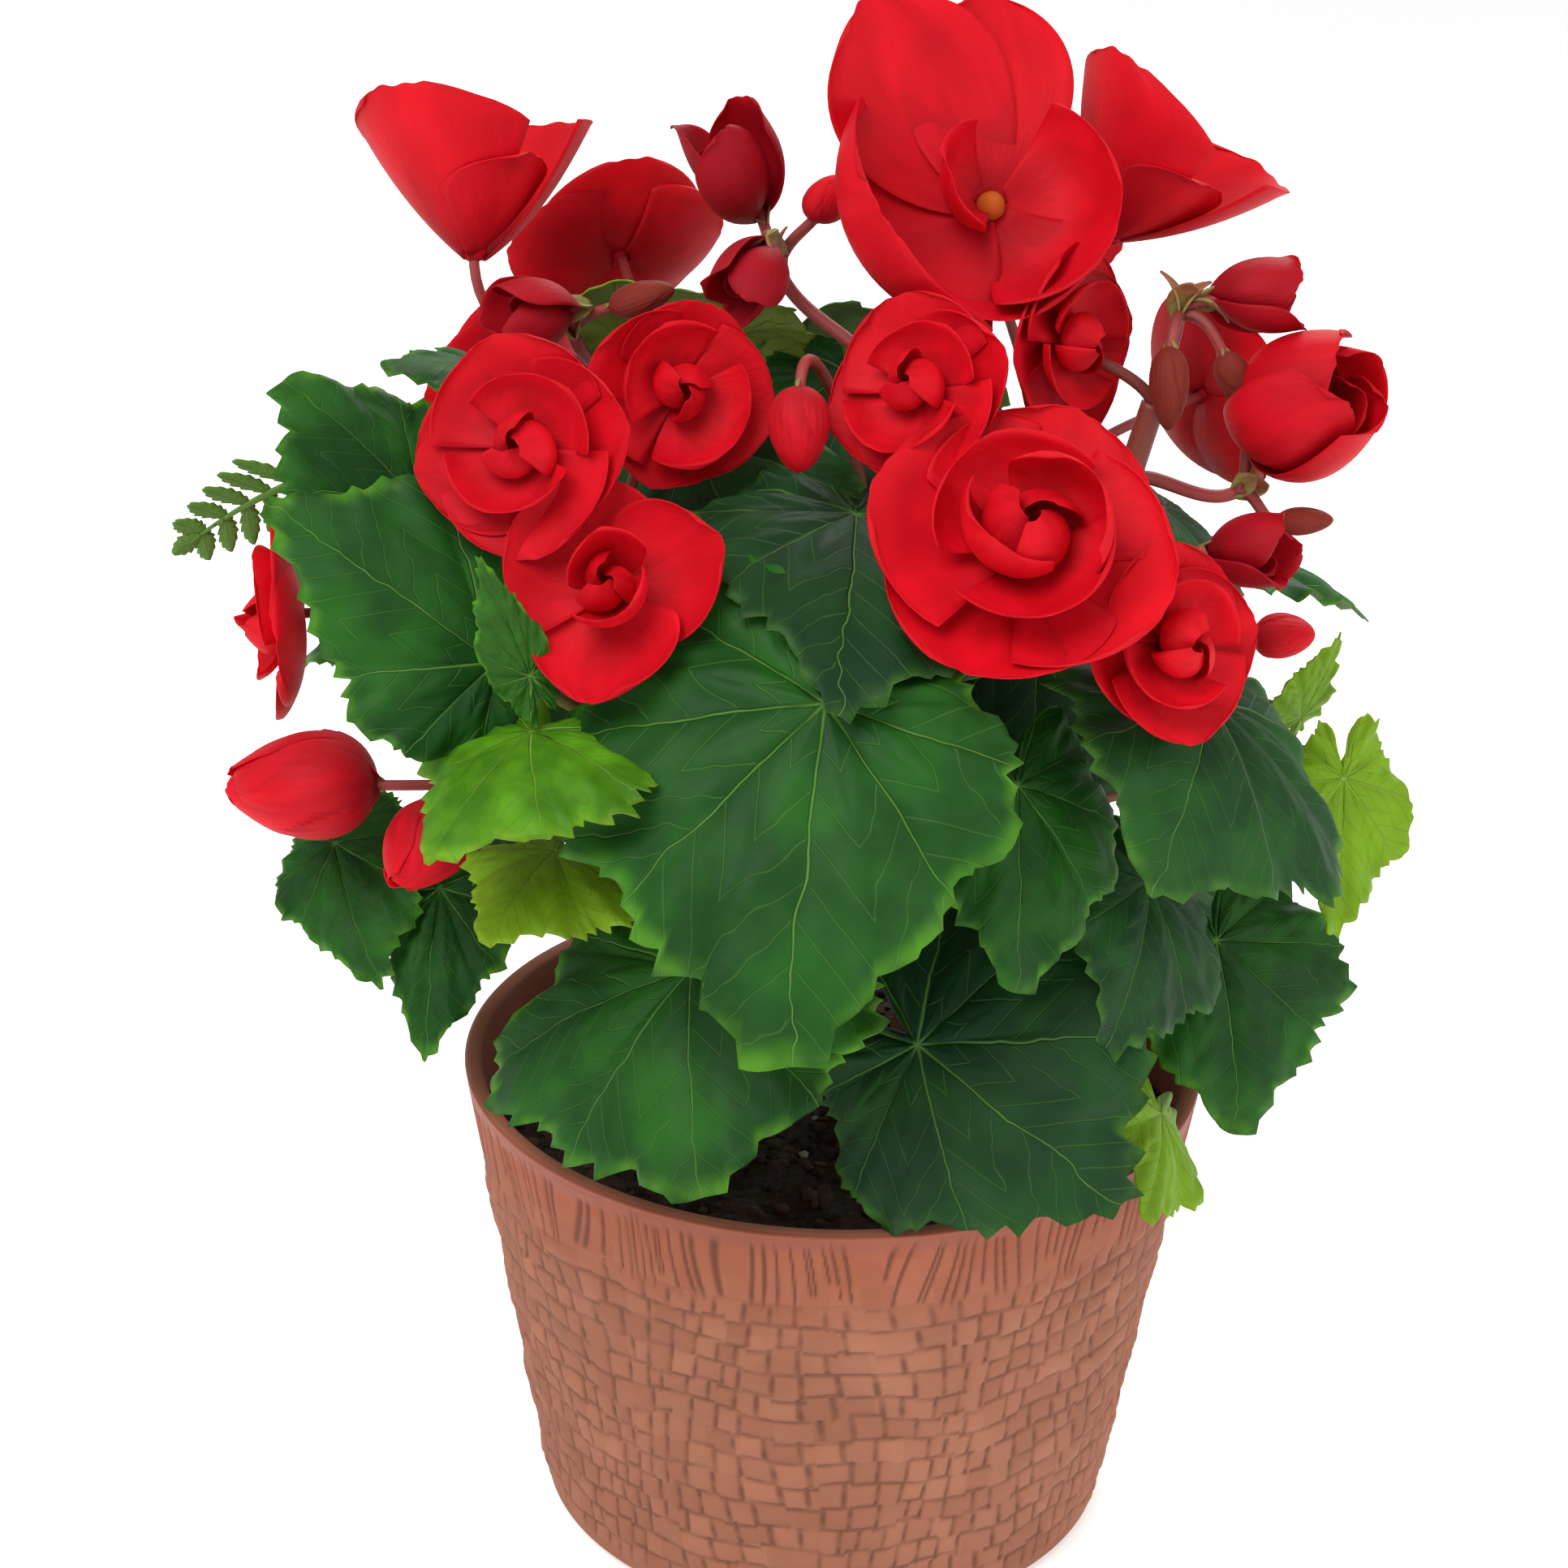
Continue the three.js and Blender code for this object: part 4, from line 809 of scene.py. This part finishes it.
# The layers of petals from the outside in, in shares of the flower's radius: how many, the root, middle and
# end of their curve as distance from the axis and height along it, half width, tilt, cupping, turn, waviness.
LAYERS = {
    "open": [
        (4, (0.08, 0), (0.6, -0.1), (1, 0.2), 1.15, 0.02, 0.06, 0, 1),
        (2, (0.12, 0.06), (0.66, 0.1), (0.7, 0.46), 1.3, 0.06, 0.02, 0.35, 0.8),
        (3, (0.06, 0.06), (0.52, 0.24), (0.05, 0.52), 0.62, 0.09, 0, 0.1, 0.4),
    ],
    "loose": [
        (3, (0.08, 0), (0.6, -0.1), (1, 0.3), 0.88, 0.04, 0.06, 0, 0.9),
        (2, (0.12, 0.06), (0.5, 0.3), (0.36, 0.64), 0.6, 0.05, 0, 0.5, 0.6),
        (3, (0.06, 0.06), (0.38, 0.2), (0.05, 0.42), 0.44, 0.08, 0, 0.1, 0.4),
    ],
    "bowl": [
        (1, (0.08, 0.02), (0.8, -0.1), (1.3, 0.3), 0.64, 0.03, 0.03, 0.25, 0.8),
        (1, (0.08, 0), (0.8, 0), (1.34, 0.5), 0.7, 0.04, 0.03, 0.34, 0.8),
        (1, (0.08, 0.02), (0.6, -0.1), (0.8, 0.3), 1.05, 0.04, 0.03, 0.76, 0.8),
        (1, (0.1, 0.04), (0.6, -0.02), (0.74, 0.5), 1.2, 0.04, 0.03, 0.95, 0.8),
        (1, (0.1, 0.04), (1.3, 0), (0.76, 0.75), 1.1, 0.04, 0, 0.57, 0.6),
        (1, (0.06, 0.06), (0.4, 0.2), (0.3, 0.6), 0.5, 0.05, 0, 0.5, 0.5),
    ],
    "fan": [
        (2, (0.06, 0), (0.5, 0.34), (0.78, 1.02), 1.15, 0.04, 0.03, 0, 0.9),
        (2, (0.06, 0.04), (0.4, 0.3), (0.52, 0.66), 0.6, 0.04, 0, 0.5, 0.7),
    ],
    "half": [
        (3, (0.04, 0), (0.66, 0.3), (0.4, 1.2), 0.6, 0.12, 0, 0, 0.7),
        (3, (0.02, 0.05), (0.42, 0.3), (0.16, 0.95), 0.42, 0.1, 0, 0.5, 0.5),
    ],
    "cup": [
        (4, (0.05, 0), (0.9, 0.28), (0.3, 1.2), 0.7, 0.1, 0.02, 0, 0.5),
        (3, (0.04, 0.05), (0.7, 0.3), (0.22, 1.04), 0.56, 0.08, 0, 0.5, 0.5),
    ],
}
# Flowers this large have two more petals round the middle.
FULL = Sizes(least=24, kinds=("open",),
             layer=(2, (0.1, 0.08), (0.62, 0.2), (0.36, 0.6), 0.8, 0.07, 0, 0.85, 0.5))
# Buds this large show three petals that wrap round them.
WRAP = Sizes(least=8, layer=(3, (0.1, -0.16), (1.62, 0.5), (0.12, 1.98), 1.0, 0.1, 0, 0, 0.6))
PETAL = Sizes(rows=24, columns=25, last=0.988, thickness=0.5, rim=0.16)
BUD = Sizes(petals=3, foot=-0.2, length=2.1, lap=0.07, flat=0.78, dry=0.66)
BRACT = Sizes(rows=12, columns=7, curl=1.1, thickness=0.4)


def face_of(turn, lift, spin):
    t, l = math.radians(turn), math.radians(lift)
    axis = np.array([math.sin(t) * math.cos(l), -math.cos(t) * math.cos(l), math.sin(l)])
    level = turn_about(np.array([math.cos(t), math.sin(t), 0]), axis, math.radians(spin))
    return axis, level, np.cross(axis, level)


def petal_of(seat, frame_, size, layer, heading, draw):
    """One petal: its points and faces, and each point's share from root to end and edge to edge."""
    axis, level, rise = frame_
    _, root, middle, end, width, tilt, cupped, _, wave = layer
    a = PETAL.last * (1 - (1 - np.linspace(0, 1, PETAL.rows)[:, None]) ** 1.7)
    b = np.linspace(-1, 1, PETAL.columns)[None, :]
    phase = draw.uniform(0, 6.3, 5)
    share = a - 0.05 * a**2 * b**2
    share = share + wave * a**3 * (0.010 * np.sin(5 * b + phase[0]) + 0.006 * np.sin(13 * b + phase[1]))
    bow = [(1 - share) ** 2, 2 * share * (1 - share), share**2]
    out, up = (sum(w * k[axis_] for w, k in zip(bow, (root, middle, end))) for axis_ in (0, 1))
    slopes = [(1 - share) * (middle[k] - root[k]) + share * (end[k] - middle[k]) for k in (0, 1)]
    half = width * np.sin(math.pi * (0.03 + 0.6 * a)) ** 0.7 * np.sqrt(1 - a**7)
    swing = heading + b * np.minimum(half / np.maximum(out, 0.05), 1.3)
    ruffle = wave * a**2 * (0.022 * np.sin(2.6 * b + phase[2]) + 0.012 * b * np.sin(6 * b + phase[3]))
    rolled = wave * (0.02 * a**6 + 0.008 * np.abs(b) ** 5)
    lean = tilt * b + cupped * b**2 + ruffle - rolled + 0.02 * wave * np.sin(3 * a + phase[4])
    lean = lean / np.hypot(*slopes)
    radius = size * np.maximum(out - lean * slopes[1], 0.01)
    points = (seat + radius[..., None] * (level * np.cos(swing)[..., None] + rise * np.sin(swing)[..., None])
              + axis * (size * (up + lean * slopes[0]))[..., None])
    flat = np.stack([a + 0 * b, b + 0 * a], -1).reshape(-1, 2)
    rim = np.maximum(flat[:, 0], np.abs(flat[:, 1])) ** 4
    points, faces, side = sheet(points, PETAL.thickness - (PETAL.thickness - PETAL.rim) * rim)
    return points, faces, np.column_stack([np.concatenate([flat, flat]), side])


def bud_of(seat, frame_, size, flatness):
    """Closed petals: a pointed body round which they overlap, each edge standing out a little."""
    axis, level, rise = frame_
    rings, around = (30, 96) if size > 4 else (16, 40)
    lat = np.linspace(0, math.pi, rings + 2)[1:-1][:, None]
    turn = ring_angles(around)[None, :]
    along = (1 - np.cos(lat)) / 2 + 0 * turn
    wrapped = (BUD.petals * (turn / TURN + 0.22 * along**2)) % 1
    lap = BUD.lap * wrapped**0.6 * ease(wrapped, 0, 0.06) * np.sin(lat) ** 0.5
    rib = 0.95 + lap + 0.012 * np.sin(23 * turn + 3 * along) * np.sin(lat)
    reach = size * (1.15 - 0.4 * along) * np.sin(lat) * rib
    forward = axis * (size * (BUD.length * along + BUD.foot))[..., None]
    side = level * (reach * np.cos(turn))[..., None] + rise * (flatness * reach * np.sin(turn))[..., None]
    foot, tip = (seat + axis * size * end for end in (BUD.foot, BUD.length + BUD.foot))
    points = np.vstack([foot, (seat + forward + side).reshape(-1, 3), tip])
    place = np.stack([0.25 + 0.6 * along, 2 * wrapped - 1, np.ones_like(along)], -1).reshape(-1, 3)
    return points, ring_faces(rings, around), np.vstack([[0.25, 0, 1], place, [0.85, 0, 1]])


def add_bracts(form, point, way, size, order, draw, count=2):
    """Adds small pointed scale leaves round a stalk, each hollow towards it."""
    first = unit(np.cross(way, [0.3, 0.2, 1]))
    a, b = np.linspace(0, 1, BRACT.rows)[:, None], np.linspace(-1, 1, BRACT.columns)[None, :]
    half = 0.32 * size * np.sin(math.pi * (0.08 + 0.9 * a)) ** 0.8
    for k in range(count):
        aside = turn_about(first, way, TURN * (k + 0.6 * draw.random()) / count)
        length, curl = size * draw.uniform(0.8, 1.2), BRACT.curl
        across = unit(np.cross(way, aside))
        forward = length * np.sin(curl * a) / curl
        out = length * (1 - np.cos(curl * a)) / curl - 0.25 * half * b**2
        points = (point + forward[..., None] * way + out[..., None] * np.cross(across, way)
                  + (half * b)[..., None] * across)
        points, faces, _ = sheet(points, BRACT.thickness)
        marks = np.stack([a + 0 * b, b + 0 * a, order + k * 0.37 + 0 * a * b], -1).reshape(-1, 3)
        form.add(points, faces, stalk=np.concatenate([marks, marks]))


velvet = Finish("petal_velvet", specular_ior_level=0.14, subsurface_weight=0.18, subsurface_scale=0.003,
                sheen_weight=0.05, sheen_roughness=0.4, sheen_tint=paint(255, 70, 70))
a, b, _ = velvet.read("petal")
tone, number, kind = velvet.read("flower")
where = velvet.place(a * 1.2, b * 5, number)
streaks = velvet.noise(where, 4.5, 4, 0.65)
cloud = velvet.noise(velvet.place(a, b, number), 2.2, 2)
withered = velvet.mix(streaks, paint(96, 18, 26), paint(104, 62, 36))
color = velvet.coats(
    velvet.mix(velvet.step(cloud, 0.3, 0.7), paint(190, 2, 19), paint(214, 8, 28)),
    (velvet.step(streaks, 0.45, 0.8) * 0.22, paint(172, 6, 24)),
    # Painted shade: petals darker towards their roots, deep inside the flower.
    (velvet.step(a, 0.5, 0.0) * 0.45, paint(140, 0, 16)),
    (velvet.step(kind, 0.0, 1.0) * 0.45 * velvet.step(a, 0.9, 0.3), paint(150, 24, 34)),
    (tone, paint(104, 8, 22)),
    (velvet.step(kind, 0.0, -1.0) * 0.85, withered),
    (velvet.step(kind, 1.2, 2.0) * 0.6, paint(186, 118, 34)),
)
velvet.cover(color, 0.5 + streaks * 0.18, streaks * 0.5 + cloud * 0.4, 0.0005, 0.5)
scape_colors = paint(112, 42, 34), paint(150, 44, 44), paint(116, 66, 40)
flower_stalk_skin = stalk_finish("flower_stalk_skin", *scape_colors)
bract_skin = stalk_finish("bract_skin", paint(124, 132, 62), paint(150, 92, 58), paint(112, 40, 34))


def add_flesh(form, body, mark):
    """Adds a petal or a bud, with the marks that its skin reads."""
    points, faces, place = body
    form.add(points, faces, petal=place, flower=mark)


draw = np.random.default_rng(77)
for order, (stem, at, flowers, *fork) in enumerate([*BLOOMS, *BUDS]):
    later = order - len(BLOOMS)
    name = f"bloom_{order + 1:02d}" if later < 0 else f"bud_{later + 1:02d}"
    petals, stalks, bracts = Form(), Form(), Form()
    root, rise = on_stem(stem, at)
    start, out = root, rise
    if fork:
        end = np.array(fork[0], float)
        arrive = unit(unit(end - root) + [0, 0, 0.6])
        add_tube(stalks, bowed(root, rise, end, arrive), np.linspace(1.35, 1.2, 24), order * 0.53)
        start, out = end, arrive
        add_bracts(bracts, end - arrive, arrive, 9, order, draw, 3)
    for flower, (kind_, seat, turn_, lift_, spin_, size) in enumerate(flowers):
        seat = np.array(seat, float)
        facing = face_of(turn_, lift_, spin_)
        axis, level, rise_ = facing
        end = seat + axis * 0.06 * size
        path = bowed(start, unit(unit(end - start) + out), end, axis)
        add_tube(stalks, path, np.linspace(1.15, 0.95, 24), order * 0.53)
        number_ = order * 1.7 + flower * 4.3
        darker = draw.uniform(0, 0.2) + (0.5 if kind_ == "half" else 0)
        if kind_ in ("bud", "dry", "half"):
            add_bracts(bracts, end - axis * (0.3 * size + 1), axis, min(0.5 * size, 6) + 1.5, order, draw)
        if kind_ in ("bud", "dry"):
            slender = BUD.dry if kind_ == "dry" else 1
            closed = (axis, level * slender, rise_ * slender)
            fresh = 1 if kind_ == "bud" else -1
            add_flesh(petals, bud_of(seat, closed, size, BUD.flat), [darker * 0.8, number_, fresh])
            if size > WRAP.least:
                flatter = (axis, level, rise_ * 0.8)
                for k in range(3):
                    wrap = petal_of(seat, flatter, size, WRAP.layer, 2.1 * k + 0.4, draw)
                    add_flesh(petals, wrap, [darker * 0.8, number_ + k, 0.5])
            continue
        points, faces, place = bud_of(seat, facing, HEART * size, 1)
        yellow = 2 if kind_ == "bowl" else 0
        # The heart's shares from root to end are lowered, so the painted shade at the petal roots darkens it
        # more.
        petals.add(points, faces, petal=place * [0.8, 1, 1], flower=[darker, number_, yellow])
        leaning = level * draw.uniform(-1, 1) + rise_ * draw.uniform(-1, 1)
        extra = [FULL.layer] if kind_ in FULL.kinds and size >= FULL.least else []
        for depth, layer in enumerate(LAYERS[kind_] + extra):
            count, width, turn = layer[0], layer[4], layer[7]
            free = depth > 0 and count > 1
            for k in range(count):
                heading = TURN * (k + turn) / count + (0.2 if free else 0.05) * draw.uniform(-1, 1)
                grown = size * (1 - (0.16 if free else 0.03) * draw.random())
                raised = axis * size * 0.03 * (k % 2 if count == 4 else k * 0.8)
                shifted = seat + raised + leaning * size * (0.05 if free and depth > 1 else 0)
                broad = (*layer[:4], width * (1.2 if k % 2 else 0.95), *layer[5:])
                petal = petal_of(shifted, facing, grown, broad, heading, draw)
                add_flesh(petals, petal, [darker, number_ + k * 0.9 + turn, 0])
    petals.piece(f"{name}_petals", [name], velvet.material, "petal")
    stalks.piece(f"{name}_stalk", [name], flower_stalk_skin, "petal")
    if bracts.points:
        bracts.piece(f"{name}_bracts", [name], bract_skin, "petal")

# -------------------- the floor, light and camera
# A plain pale floor under soft light. The camera stands where the photograph was taken from: at the front, a
# little above the plant.
FLOOR = Sizes(reach=4000, level=-0.2)
EYE = Sizes(place=(-0.0105, -0.56944, 0.39724), aim=(-0.0105, 0, 0.152), roll=1, sensor=36,
            focal_share=4000 / 1932)
floor = Form()
corners = [(x * FLOOR.reach, y * FLOOR.reach, FLOOR.level) for x, y in ((-1, -1), (1, -1), (1, 1), (-1, 1))]
floor.add(np.array(corners), [np.array([[0, 1, 2, 3]])])
pale = Finish("pale_floor", emission_color=(1, 1, 1, 1), emission_strength=0.42)
speckle = pale.noise(pale.body_place(), 4, 2)
pale.cover(pale.mix(speckle, paint(236, 236, 234), paint(242, 242, 240)), 0.85 + speckle * 0.05)
ground = floor.piece("floor", [], pale.material, None)


def aimed(name, data, place, aim, roll=0):
    """A lamp or camera that looks at a point, turned about its line of sight by roll degrees."""
    made = placed(name, data)
    made.location = place
    made.rotation_mode = "QUATERNION"
    level = (Vector(aim) - Vector(place)).to_track_quat("-Z", "Y")
    made.rotation_quaternion = level @ Matrix.Rotation(math.radians(roll), 3, "Z").to_quaternion()
    return made


def soft_light(name, place, aim, size, power):
    lamp = bpy.data.lights.new(name, "AREA")
    lamp.shape, lamp.size, lamp.energy = "DISK", size, power
    aimed(name, lamp, place, aim)


soft_light("key_light", (-0.45, -0.75, 1.2), (0, 0, 0.17), 0.9, 14)
soft_light("side_light", (1.0, -0.5, 0.6), (0, 0, 0.17), 0.8, 4)
soft_light("back_light", (0.3, 1.0, 0.9), (0, 0, 0.2), 0.7, 8)
world = bpy.data.worlds.new("pale_room")
bpy.context.scene.world = world
world.use_nodes = True
sky = world.node_tree.nodes["Background"].inputs
sky["Color"].default_value, sky["Strength"].default_value = (0.93, 0.94, 0.95, 1), 0.62
bpy.context.scene.view_settings.view_transform = "Standard"

camera = aimed("camera", bpy.data.cameras.new("camera"), EYE.place, EYE.aim, EYE.roll)
camera.data.sensor_width, camera.data.lens = EYE.sensor, EYE.sensor * EYE.focal_share
camera.data.clip_start, camera.data.clip_end = 0.01, 50
bpy.context.scene.camera = camera
